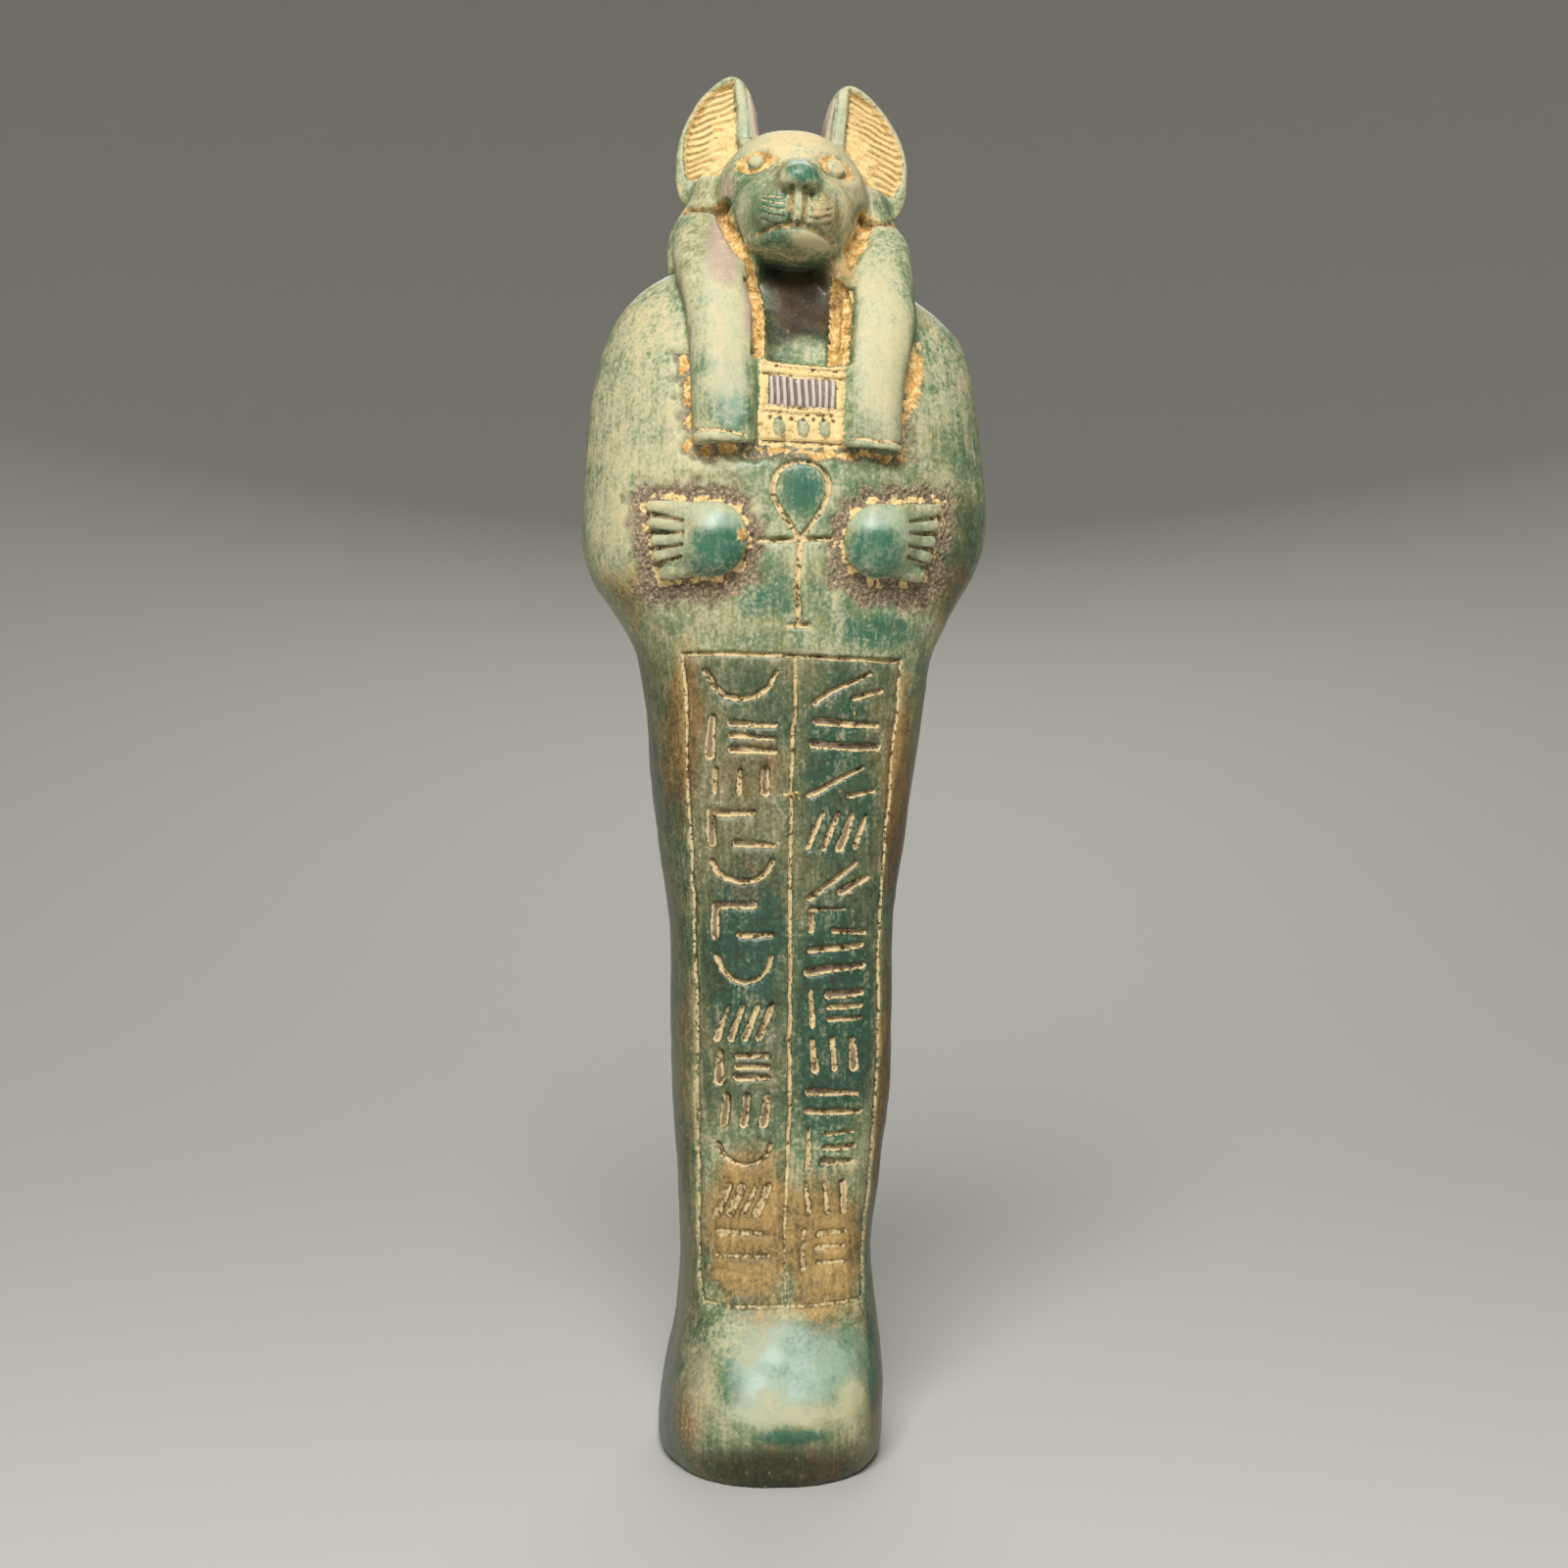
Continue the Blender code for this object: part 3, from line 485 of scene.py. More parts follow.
def rough_block():
    """All the forms melted into one skin, with its joints and edges a little softened."""
    block = new_object("block", mesh_of([outward(skin(rows)) for rows in forms()], "block"))
    remesh = block.modifiers.new("one skin", "REMESH")
    remesh.mode = "VOXEL"
    remesh.voxel_size = CARVING_STEP
    smooth = block.modifiers.new("worn edges", "SMOOTH")
    smooth.factor = 0.5
    smooth.iterations = SOFTENING_PASSES
    return finished_mesh(block)


def line_distance(points, line):
    """Distance from flat points to the nearest piece of a line."""
    nearest = np.full(len(points), np.inf)
    for start, end in zip(line, line[1:]):
        start, end = np.array(start, float), np.array(end, float)
        along = end - start
        share = np.clip((points - start) @ along / max(along @ along, 1e-12), 0.0, 1.0)
        gap = points - start - share[:, None] * along
        nearest = np.minimum(nearest, np.hypot(gap[:, 0], gap[:, 1]))
    return nearest


def groove(points, lines, width, flat_floor=0.25):
    """1 along the floor of grooves cut on lines, 0 outside their width, with sloping sides."""
    half = width / 2
    deepest = np.zeros(len(points))
    for line in lines:
        low, high = np.min(line, axis=0) - half, np.max(line, axis=0) + half
        near = np.flatnonzero(((points > low) & (points < high)).all(axis=1))
        cut = 1.0 - eased(line_distance(points[near], line), flat_floor * half, half)
        deepest[near] = np.maximum(deepest[near], cut)
    return deepest


def tapered(points, lines, width):
    """Chiselled grooves, each of its own width and taper, and how far the beds of wide ones are bare."""
    rng = random.Random(STROKE_SEED)
    deepest, bed = np.zeros(len(points)), np.zeros(len(points))
    for line in lines:
        wide, narrow = width * rng.uniform(0.8, 1.55), rng.uniform(0.0, 0.5)
        low, high = np.min(line, axis=0) - wide, np.max(line, axis=0) + wide
        near = np.flatnonzero(((points > low) & (points < high)).all(axis=1))
        start, end = np.array(line[0]), np.array(line[-1])
        along = end - start
        share = np.clip((points[near] - start) @ along / (along @ along), 0.0, 1.0)
        half = wide / 2 * (1.0 - narrow * share)
        spread = line_distance(points[near], line) / half
        deepest[near] = np.maximum(deepest[near], 1.0 - eased(spread, 0.3, 1.0))
        bare = (1.0 - eased(spread, 0.15, 0.6)) * eased(half, 0.4 * width, 0.65 * width)
        bed[near] = np.maximum(bed[near], bare)
    return deepest, bed


def both_sides(lines):
    """Lines given for the right side, with their mirror images on the left."""
    return [[(side * x, z) for x, z in line] for side in (1, -1) for line in lines]


def ankh_lines():
    """A loop drawn in to a neck, a bar across it and a stem with a small foot."""
    cx, cz = ANKH_MIDDLE, ANKH_LOOP_CENTRE
    rx, rz = ANKH_LOOP_RADII
    loop = [(cx, ANKH_NECK)]
    for i in range(15):
        angle = math.radians(-25.0 + 230.0 * i / 14)
        loop.append((cx + rx * math.cos(angle), cz + rz * math.sin(angle)))
    loop.append((cx, ANKH_NECK))
    foot, foot_half = ANKH_FOOT
    bar = [(x, ANKH_NECK) for x in ANKH_BAR_ENDS]
    return [loop, bar, [(cx, ANKH_NECK), (cx, foot)], [(cx - foot_half, foot), (cx + foot_half, foot)]]


def panel_half(z):
    return float(through(PANEL_EDGE, z)[0, 0])


def panel_lines():
    """The upright lines of the inscribed panel, then the level ones."""
    low, high = PANEL_EDGE[0][0], PANEL_EDGE[-1][0]
    edge = [(panel_half(z), z) for z in np.linspace(low, high, 12)]
    sills = [[(-panel_half(z), z), (panel_half(z), z)] for z in (low, high)]
    return [*both_sides([edge]), [(0.0, low), (0.0, high)]], sills


def row_strokes(kind, rng):
    """One row of strokes in place of writing: u from -1 to 1 across the column, v from 0 to 1 up it."""
    skew = rng.uniform(-0.12, 0.12)
    if kind == "bars":
        return [[(-0.8, 0.25), (0.8, 0.25 + skew)], [(-0.75, 0.8), (0.75, 0.8 + skew)]]
    if kind == "ticks":
        return [[(u, 0.15), (u + skew, 0.85)] for u in (-0.6, 0.0, 0.6)]
    if kind == "slope":
        return [[(-0.8, 0.05 - skew), (0.5, 0.9)], [(0.15, 0.15), (0.8, 0.4 + skew)]]
    if kind == "sag":
        bow = [(0.8 * math.sin(a), 0.95 - 0.7 * math.cos(a)) for a in np.linspace(-1.4, 1.4, 7)]
        return [bow]
    if kind == "stack":
        post = [(-0.7, 0.0), (-0.7, 1.0)]
        return [post, *[[(-0.2, v), (0.75 + skew, v)] for v in (0.15, 0.5, 0.85)]]
    if kind == "fan":
        return [[(u, 0.1), (u + 0.35, 0.9)] for u in (-0.8, -0.4, 0.0, 0.4)]
    return [[(-0.75, 0.1), (-0.75, 0.85), (0.3, 0.85)], [(-0.1, 0.1), (0.8, 0.1 + skew)]]


def inscription():
    """Rows of strokes down the two columns of the panel, in the same order as on the solid."""
    rng = random.Random(STROKE_SEED)
    kinds = ("bars", "ticks", "slope", "sag", "stack", "fan", "corner")
    low, high = PANEL_EDGE[0][0] + PANEL_MARGIN, PANEL_EDGE[-1][0] - PANEL_MARGIN
    lines = []
    for side in (-1, 1):
        top = high
        last = None
        while top - ROW_HEIGHT > low:
            kind = rng.choice([k for k in kinds if k != last])
            last = kind
            tall = ROW_HEIGHT * rng.uniform(0.75, 1.15)
            half = panel_half(top - tall / 2) / 2 - PANEL_MARGIN
            middle = side * panel_half(top - tall / 2) / 2
            for stroke in row_strokes(kind, rng):
                lines.append([(middle + u * half, top - tall + v * tall) for u, v in stroke])
            top -= tall + ROW_GAP
    return lines


def finger_gaps():
    """Lines from the palm out between the fingers of both hands."""
    gaps = []
    for i in range(len(FINGER_TIPS) - 1):
        root = (FINGER_ROOTS[i] + FINGER_ROOTS[i + 1]) / 2
        tip = (FINGER_TIPS[i] + FINGER_TIPS[i + 1]) / 2
        gaps.append([(FINGER_GAP_FROM, root), (FINGER_TIPS_X[i] + 0.4, tip)])
    return both_sides(gaps)


def whisker_lines():
    """Five lines on each pad, their outer ends higher, drawn as part of a bow."""
    u = np.linspace(0.0, 1.0, 6)
    lines = []
    for height in np.linspace(*WHISKER_HEIGHTS, WHISKERS):
        x = WHISKER_ENDS[0] + (WHISKER_ENDS[1] - WHISKER_ENDS[0]) * u
        lines.append(list(zip(x, height + WHISKER_RISE * (u**2 - 0.35 * u))))
    return both_sides(lines)


def oval(points, centre, radii):
    """1 on an oval's edge, less inside it."""
    return np.hypot((points[:, 0] - centre[0]) / radii[0], (points[:, 1] - centre[1]) / radii[1])


def ear_dish(flat):
    """How far inside the ear's dish each place is, in squares, and how far along its ribs."""
    lean = np.where(flat[:, 0] > 0, EAR_LEANS[1], EAR_LEANS[-1])
    x, z = np.abs(flat[:, 0]) - EAR_MIDDLE[0], flat[:, 1] - EAR_MIDDLE[2]
    x, z = x * np.cos(lean) - z * np.sin(lean), z * np.cos(lean) + x * np.sin(lean)
    breadth = np.where(flat[:, 0] > 0, EAR_BREADTHS[1], EAR_BREADTHS[-1])
    x, z = x / breadth + EAR_MIDDLE[0], z + EAR_MIDDLE[2]
    spread = oval(np.stack((x, z), axis=1), EAR_OVAL_CENTRE, EAR_OVAL_RADII)
    (bar_x, bar_z), (top_x, top_z) = EAR_BAR
    bar = bar_x + (top_x - bar_x) * (z - bar_z) / (top_z - bar_z)
    to_rim = (1.0 - spread) * EAR_OVAL_RADII[0] - EAR_RIM
    inside = np.minimum(np.minimum(to_rim, x - bar), z - EAR_LOBE_TOP)
    rib = (z + EAR_RIB_FALL * (x - bar) - EAR_LOBE_TOP) * EAR_RIBS / 20.0
    return inside, to_rim, rib, bar - x


class Carving:
    """What the tools take off the front and how it shows, worked out for points on the grid.

    Every share runs from 0 to 1. out is how far a point moves along its normal, in squares.
    """

    def __init__(self, points, normals, sizes):
        self.points, self.normals, self.sizes = points, normals, sizes
        x, y, z = points.T
        wobble = np.stack((ripple(points, 9.0, 3), ripple(points, 9.0, 4)), axis=1)
        self.flat = points[:, [0, 2]] + 0.11 * wobble
        self.facing = eased(-normals[:, 1], 0.1, 0.45)
        proud = body_front(x, z) - y
        self.on_body = 1.0 - eased(proud, *BODY_PROUD)
        self.on_lappet = eased(proud, *LAPPET_PROUD) * (np.abs(x) > LAPPET_INSIDE)
        self.on_lappet *= (z > LAPPET_REACH[0]) * (z < LAPPET_REACH[1])
        self.below_collar = (z < COLLAR_BORDERS[0] + 1.5).astype(float)
        self.on_face = ((z > FACE_FROM[0]) & (y < FACE_FROM[1])).astype(float)
        self.on_ear = ((z > EAR_FROM[0]) & (y > EAR_FROM[1])).astype(float)
        self.tool_marks()
        self.chest()
        self.collar()
        self.hems()
        self.face()
        self.ears()
        self.moats()

    def tool_marks(self):
        """Low waves left by hand finishing, and a finer unevenness."""
        waves = sum(share * ripple(self.points, wave, seed) for share, wave, seed in TOOL_WAVES)
        self.out = self.sizes.waviness * waves

    def cut(self, share, depth):
        """Takes a share of a depth, in metres, off the surface."""
        self.out = self.out - share * self.facing * depth / GRID[2]

    def chest(self):
        """The life sign, the panel with its strokes, and the gaps between the fingers."""
        sizes = self.sizes
        width = sizes.line_width / GRID[2]
        uneven = 1.0 + 0.15 * ripple(self.points, 3.0, 21)
        frame_lines = groove(self.flat, ankh_lines(), width * 0.85)
        uprights, sills = panel_lines()
        frame_lines = np.maximum(frame_lines, groove(self.flat, uprights, width * 0.52))
        frame_lines = np.maximum(frame_lines, groove(self.flat, sills, width * 0.75))
        strokes, self.beds = tapered(self.flat, inscription(), width)
        rubbed = RUBBED_SHARE + (1.0 - RUBBED_SHARE) * eased(self.flat[:, 1], *RUBBED)
        self.lines = np.maximum(frame_lines, strokes) * self.below_collar * self.on_body * rubbed
        self.cut(self.lines * uneven, sizes.line_depth)
        self.gaps = groove(self.flat, finger_gaps(), FINGER_GAP_WIDTH) * self.below_collar
        self.cut(0.9 * self.gaps, sizes.line_depth)

    def collar(self):
        """Two lines over a row of upright tubes, then a string of beads over hanging drops."""
        sizes = self.sizes
        width = sizes.fine_width / GRID[2]
        left, right = FRONT_MIDDLE - COLLAR_HALF, FRONT_MIDDLE + COLLAR_HALF
        borders = [[(left, z), (right, z)] for z in COLLAR_BORDERS]
        low, high = COLLAR_BORDERS[2], COLLAR_BORDERS[1]
        x, z = self.flat.T
        across = np.abs(x - FRONT_MIDDLE)
        own = (1.0 - eased(across, COLLAR_HALF + 0.6, COLLAR_HALF + 1.2)) * self.on_body
        self.tube_zone = own * (across < COLLAR_HALF - 1.0) * (z > low + 0.3) * (z < high - 0.3)
        turn = (x - left - 1.0) / (2 * COLLAR_HALF - 2.0) * COLLAR_TUBES
        self.tubes = (0.5 - 0.5 * np.cos(2 * math.pi * turn)) * self.tube_zone
        self.borders = groove(self.flat, borders, width) * own
        places = np.linspace(left + BEAD_MARGIN, right - BEAD_MARGIN, COLLAR_BEADS)
        beads = [[(place, BEAD_HEIGHT), (place, BEAD_HEIGHT - 0.1)] for place in places]
        self.beads = groove(self.flat, beads, 1.2) * own
        self.drops = np.zeros(len(self.flat))
        for place in np.linspace(-COLLAR_HALF, COLLAR_HALF, COLLAR_DROPS + 2)[1:-1]:
            drop = oval(self.flat, (FRONT_MIDDLE + 1.15 * place, DROP_HEIGHT), DROP_RADII)
            self.drops = np.maximum(self.drops, 1.0 - eased(drop, 0.7, 1.15))
        self.own_collar = own * eased(z, 177.4, 178.4) * (1.0 - eased(z, 192.4, 193.2))
        self.cut(np.maximum(self.tube_zone - self.tubes, self.borders), sizes.fine_depth)
        self.cut(0.7 * self.beads - self.drops, sizes.fine_depth)

    def hems(self):
        """A thin raised rim along the lappets' hems, with a fine line above it."""
        z = self.flat[:, 1]
        rim = eased(z, HEM_RIM - 1.0, HEM_RIM - 0.5) * (1.0 - eased(z, HEM_RIM + 0.4, HEM_RIM + 0.7))
        line = 1.0 - eased(np.abs(z - HEM_RIM - 0.8), 0.1, 0.5)
        self.hem_line = line * self.on_lappet
        self.cut(0.8 * self.hem_line - 0.7 * rim * self.on_lappet, self.sizes.fine_depth)

    def face(self):
        """Eyes with lids, mouth, nostrils, whiskers, and the cracks left beside the jaw and the ears."""
        sizes = self.sizes
        x, y, z = self.points.T
        across = x * math.cos(HEAD_TURN) - y * math.sin(HEAD_TURN)
        flat = np.stack((across, z), axis=1) + (self.flat - self.points[:, [0, 2]]) * 0.5
        out = np.zeros(len(flat))
        self.sockets = np.zeros(len(flat))
        for side in (1, -1):
            u, v = side * flat[:, 0] - EYE[0], flat[:, 1] - EYE[1]
            along = u * math.cos(EYE_SLANT) + v * math.sin(EYE_SLANT)
            up = v * math.cos(EYE_SLANT) - u * math.sin(EYE_SLANT)
            spread = np.hypot(along / EYE_SOCKET[0], up / EYE_SOCKET[1])
            socket = 1.0 - eased(spread, 0.6, 1.15)
            lid = (1.0 - eased(np.abs(spread - 1.25), 0.05, 0.3)) * (up < 0.6)
            ball = 1.0 - eased(np.hypot(u, v) / EYEBALLS[side], 0.6, 1.0)
            self.sockets = np.maximum(self.sockets, socket * (1.0 - ball))
            out += 1.15 * ball - socket + 0.1 * lid
        self.mouth = groove(flat, [MOUTH], MOUTH_WIDTH)
        half, low, high = PHILTRUM
        self.philtrum = groove(flat, both_sides([[(half, low), (half, high)]]), PHILTRUM_WIDTH, 0.5)
        to_nostril = np.hypot(np.abs(flat[:, 0]) - NOSTRIL[0], flat[:, 1] - NOSTRIL[1])
        self.nostrils = 1.0 - eased(to_nostril, 0.3, 1.1)
        self.notch = 1.0 - eased(oval(flat, (0.1, PHILTRUM[1] + 0.1), (0.6, 0.9)), 0.4, 1.2)
        self.whiskers = groove(flat, whisker_lines(), WHISKER_WIDTH, 0.1)
        shares = (self.mouth, self.philtrum, self.nostrils, self.notch, self.whiskers)
        for share in (*shares, self.sockets):
            share *= self.on_face
        cuts = 0.5 * self.mouth + 0.7 * self.philtrum + 0.35 * self.whiskers + 0.5 * self.nostrils
        self.cut(cuts - out * self.on_face, sizes.line_depth)
        sides = {side: self.flat * (side, 1) for side in (1, -1)}
        valleys = (line_distance(sides[side], JAW_VALLEY) / VALLEY_WIDTHS[side] for side in (1, -1))
        valley = np.minimum(*valleys)
        crevice = np.minimum(*(line_distance(sides[side], EAR_CREVICE) for side in (1, -1)))
        behind = ((y > -15.5) | (z < 208.0)) & (z > 193.0) & (y < 2.0)
        self.valley = (1.0 - eased(valley, 0.5, 1.9)) * behind
        self.crevice = (1.0 - eased(crevice, 0.3, 1.3)) * (y < 2.0) * (y > -9.0)
        self.cut(self.valley * 1.2 + self.crevice * 1.4, sizes.line_depth)

    def ears(self):
        """The dish of each ear, its ribs and the seam beside its inner bar."""
        sizes = self.sizes
        inside, to_rim, rib, to_bar = ear_dish(self.flat)
        self.dish = eased(inside, 0.0, 0.9) * self.on_ear
        between = (0.5 - 0.5 * np.cos(2 * math.pi * (rib + 0.12 * ripple(self.points, 5.0, 41)))) ** 1.3
        reach = 1.0 - eased(to_rim + 1.2 * ripple(self.points, 2.2, 42), 4.6, 7.6)
        self.ribs = between * self.dish * reach
        self.ear_lip = eased(to_bar, EAR_BAR_LIP - 0.35, EAR_BAR_LIP + 0.1) * self.on_ear
        seam = (1.0 - eased(np.abs(to_bar - EAR_BAR_LIP), 0.1, 0.5)) * self.on_ear
        self.cut(self.dish, sizes.ear_depth)
        self.cut(1.1 * self.ribs + 0.6 * seam, sizes.fine_depth)

    def moats(self):
        """The rough band chiselled round each hand and along the lappets."""
        hands = np.minimum(*(line_distance(self.flat * (side, 1), HAND_EDGE) for side in (1, -1)))
        edge = [(x + half, z) for z, x, _, half, _ in LAPPET[:4]]
        hem = [(FRONT_MIDDLE - 19.0, HEM_FOOT), (FRONT_MIDDLE + 18.2, HEM_FOOT)]
        beside = np.minimum(*(line_distance(self.flat * (side, 1), edge) for side in (1, -1)))
        under = line_distance(self.flat, hem)
        uneven = 0.5 * ripple(self.points, 2.6, 31)
        ground = self.on_body * self.below_collar * self.facing
        lappets = np.minimum(beside, under) + uneven
        self.near_hand = ground * (1.0 - eased(hands + uneven, 0.0, FRINGE))
        self.near_lappet = ground * (1.0 - eased(lappets, 0.1, FRINGE))
        below = BAND_BELOW * eased(-self.flat[:, 1], -160.0, -154.0)
        self.stipple = 1.0 - eased(hands + uneven - below, *HAND_BAND)
        self.stipple = np.maximum(self.stipple, 0.65 * (1.0 - eased(lappets, *LAPPET_BAND)))
        self.stipple *= ground
        pits = np.clip(ripple(self.points, 1.0, 32, 24), -0.4, 1.4)
        self.cut(self.stipple * (0.75 + 0.3 * pits), self.sizes.moat_depth)


def neighbours_of(mesh):
    """Both ends of every edge, and how many edges meet at each point."""
    ends = np.empty(len(mesh.edges) * 2, np.int32)
    mesh.edges.foreach_get("vertices", ends)
    a, b = ends.reshape(-1, 2).T
    count = len(mesh.vertices)
    return a, b, np.bincount(a, minlength=count) + np.bincount(b, minlength=count)


def smoothed(mesh, passes, share=0.5):
    """The points moved over and over by a share of the way to the mean of their neighbours."""
    a, b, neighbours = neighbours_of(mesh)
    points, count = points_of(mesh), len(mesh.vertices)
    for _ in range(passes):
        for k in range(3):
            total = np.bincount(a, points[b, k], count) + np.bincount(b, points[a, k], count)
            points[:, k] += share * (total / neighbours - points[:, k])
    return points


def soften(mesh):
    """Rubs the joints of the hands and the face smoother than the rest."""
    x, y, z = points_of(mesh).T
    flat = np.stack((np.abs(x), z), axis=1)
    (middle, radii, most), (face_middle, face_radii, face_most) = HAND_RUB, FACE_RUB
    hands = most * (1.0 - eased(oval(flat, middle, radii), 0.8, 1.1)) * (y < -19.0)
    face = face_most * (1.0 - eased(oval(flat, face_middle, face_radii), 0.8, 1.1)) * (y < FACE_FROM[1])
    place(mesh, smoothed(mesh, SOFT_PASSES, np.maximum(hands, face)))


def carve(mesh, sizes):
    """Moves each point along its normal by what the tools take off or leave."""
    points, normals = points_of(mesh), points_of(mesh, "normal")
    work = Carving(points, normals, sizes)
    place(mesh, points + normals * work.out[:, None])


def settle(points):
    """The stone's wander and slant, then a flat sole, then the figure brought to the solid's own box."""
    x, y, z = points.T
    points = np.stack((x + through(WANDER, z)[:, 0], y, z - through(SLANT, z)[:, 0] * x), axis=1)
    points[points[:, 2] < SOLE_SNAP, 2] = 0.0
    low, high = points.min(axis=0), points.max(axis=0)
    return LOW + (points - low) * (HIGH - LOW) / (high - low)


# Places on the front where the finish differs, and where light or shade is painted: the middle, the radii and
# the strength of each patch
# The thin band across the toes at 12.4 squares up is a painted highlight; the long pale middles of the
# lappets are worn glaze with a painted highlight
PALE_PLACES = (
    ((8.4, 229.2), (2.6, 2.6), 1), ((0, 233.4), (11, 5.6), 1.25), ((10.6, 225), (6, 11), 1.1),
    ((9.4, 219), (3.8, 7), 1.1), ((2.8, 214), (4, 1.8), 1.1), ((4.8, 218.6), (3.4, 3.4), 0.6),
    ((8.6, 213.4), (4, 5), 0.6), ((9, 32.6), (7, 3.2), 0.9), ((-6, 33.5), (6, 2.8), 0.7),
    ((-3, 46), (1.4, 8), 0.7), ((9, 40), (2.4, 6), 0.8), ((-12.8, 199), (4.6, 22), 0.8),
    ((14.8, 198), (5.4, 24), 1), ((-27, 176), (12, 26), 0.75), ((-24, 198), (10, 9), 0.8),
    ((27, 150), (9, 13), 0.5), ((26, 193), (9, 10), 0.5), ((7.5, 153), (1.8, 7), 0.6),
    ((-7, 166), (2, 4), 0.8), ((-2, 15.2), (3, 2.2), 0.7), ((-1, 12.4), (12, 1.8), 0.6),
    ((2, 27.4), (12, 1.4), 0.6), ((-8, 24), (7, 4), 0.8), ((11.5, 14.5), (2.5, 3.5), 0.7),
    ((-16.5, 15), (4, 10), 0.8),
)
DEEP_PLACES = (
    ((14.2, 160), (6.4, 6.4), 0.9), ((-14.2, 160), (6.4, 6.4), 1), ((-21.5, 161), (4.6, 6.4), 0.45),
    ((21.5, 161), (4.6, 6.4), 0.45), ((0.9, 171), (4.8, 5.6), 0.9), ((-5, 153), (10, 6), 0.6),
    ((5, 151), (10, 6), 0.5), ((-29, 153), (4, 4), 0.4), ((14, 147), (12, 4), 0.6),
    ((16, 176), (11, 4), 0.45), ((-3, 144.5), (12, 3), 0.5), ((8.5, 120), (9, 26), 0.7),
    ((-6, 132), (8, 9), 0.5), ((-8, 90), (9, 22), 0.8), ((8, 78), (9, 28), 0.9),
    ((4, 19), (11, 6), 0.7), ((-9, 16), (4, 8), 0.5), ((16.5, 18), (2.5, 9), 0.8),
    ((2.5, 8.8), (9, 1.5), 0.8), ((0, 224.5), (4.2, 2.8), 1), ((-12, 183), (5, 5), 0.6),
    ((12.5, 182), (5, 4), 0.4), ((-4.5, 213), (3.4, 2.4), 0.7), ((-5, 218.5), (3.6, 3.4), 0.5),
)
# Painted shade: the throat, under the jaw, the flanks and the front of the toes are darkened as if in shadow
DARK_PLACES = (
    ((1, 199), (8, 6), 0.9), ((0, 209), (8, 3.6), 1), ((0.9, 202.5), (7.6, 9), 1),
    ((0, 2), (22, 6.5), 0.85), ((31, 160), (5, 14), 0.5), ((-19.5, 95), (3.4, 40), 0.5),
    ((19.5, 95), (3.4, 36), 0.5),
)
TAN_PLACES = (
    ((-6, 42), (9.5, 17), 1), ((7, 38), (9, 15), 1), ((-19.5, 128), (4, 18), 0.8),
    ((19.8, 118), (3.4, 24), 0.9), ((18.6, 60), (3, 34), 0.8), ((-18.6, 60), (3, 34), 0.4),
    ((-7, 122), (7, 7), 0.5), ((-7, 104), (8, 5), 0.4), ((30, 154), (6, 8), 0.5),
    ((-30, 152), (6, 8), 0.5), ((-18, 9), (4, 8), 0.45), ((18.5, 8), (4, 9), 0.4),
    ((0, 3.5), (18, 5), 0.4), ((9, 220), (4, 6), 0.35), ((5.4, 218.4), (4, 4.4), 0.5),
    ((8.4, 213), (4.6, 6), 0.5),
)
OCHRE_SPOTS = (
    ((-4.2, 229.4), (1.6, 1.9), 0.5), ((4.2, 229.8), (1.2, 2), 0.5), ((-9.6, 162.6), (1.1, 1.3), 1),
    ((0.4, 117.8), (1.3, 0.6), 0.9), ((21.2, 192.6), (2, 7.4), 0.9), ((10.9, 132.6), (0.6, 1), 0.9),
)
PANEL_SHADE = 0.5

# Hollows are told by this many passes of smoothing, and are full at this many squares
HOLLOW_PASSES = 24
HOLLOW_DEPTH = 0.5

# The shares that show only where the surface looks forward
FRONT_SHARES = ("fill", "painted_shade", "ochre", "ribs", "beds", "tubes", "stipple", "creamy")
THROAT_PATCH = (((1.2, 195.6), (4.4, 3.0), 0.8),)
CALM_PLACES = (
    ((17, 162), (10.4, 7.8), 1), ((-17, 162), (10.4, 7.8), 1), ((0, 168), (40, 36), 0.45),
    ((0, 224.5), (4.8, 3.4), 1), ((0.7, 170.8), (5, 5.6), 0.8), ((1, 16), (19, 11), 1),
    ((-14, 196), (8, 28), 0.7), ((14.4, 196), (8, 28), 0.7), ((-8.5, 219), (6, 8), 0.7),
    ((0, 213), (9, 3.4), 0.7), ((-14, 238), (10, 14), 0.6), ((14, 238), (10, 14), 0.6),
)
# The band across the toes at 13 squares up, the palms' tops and the two strips on the left lappet are painted
# highlights in pale glaze
TURQUOISE_PLACES = (
    ((3, 19), (14, 8), 0.8), ((-3, 13), (9, 3), 0.7), ((13.6, 166), (6, 3.4), 0.8),
    ((-13.6, 166), (6, 3.4), 0.8), ((0, 226.4), (3.6, 1.6), 0.6), ((22.5, 163), (4.4, 5.4), 0.5),
    ((-22.5, 163), (4.4, 5.4), 0.5), ((-11.5, 189), (3, 12), 0.6), ((-13.6, 203), (3, 5), 0.5),
    ((9.6, 240), (2.2, 10), 0.7), ((-9.6, 240), (2.2, 10), 0.7),
)
BLUSH_PLACES = (
    ((-13.2, 213), (3.8, 9), 1), ((-9, 202), (1.6, 8), 0.7), ((1, 205), (8, 8), 0.6),
    ((-12.5, 225), (1.8, 4), 0.6), ((19.4, 244), (2, 6), 0.5),
)


def patch(flat, places):
    """The strongest of soft oval patches at each place."""
    share = np.zeros(len(flat))
    for centre, radii, strength in places:
        share = np.maximum(share, strength * (1.0 - eased(oval(flat, centre, radii), 0.4, 1.3)))
    return share


def hollowness(mesh, passes):
    """How far each point lies below the mean of its surroundings, in squares. Less than zero is above."""
    points, normals = points_of(mesh), points_of(mesh, "normal")
    return np.einsum("ij,ij->i", smoothed(mesh, passes) - points, normals)


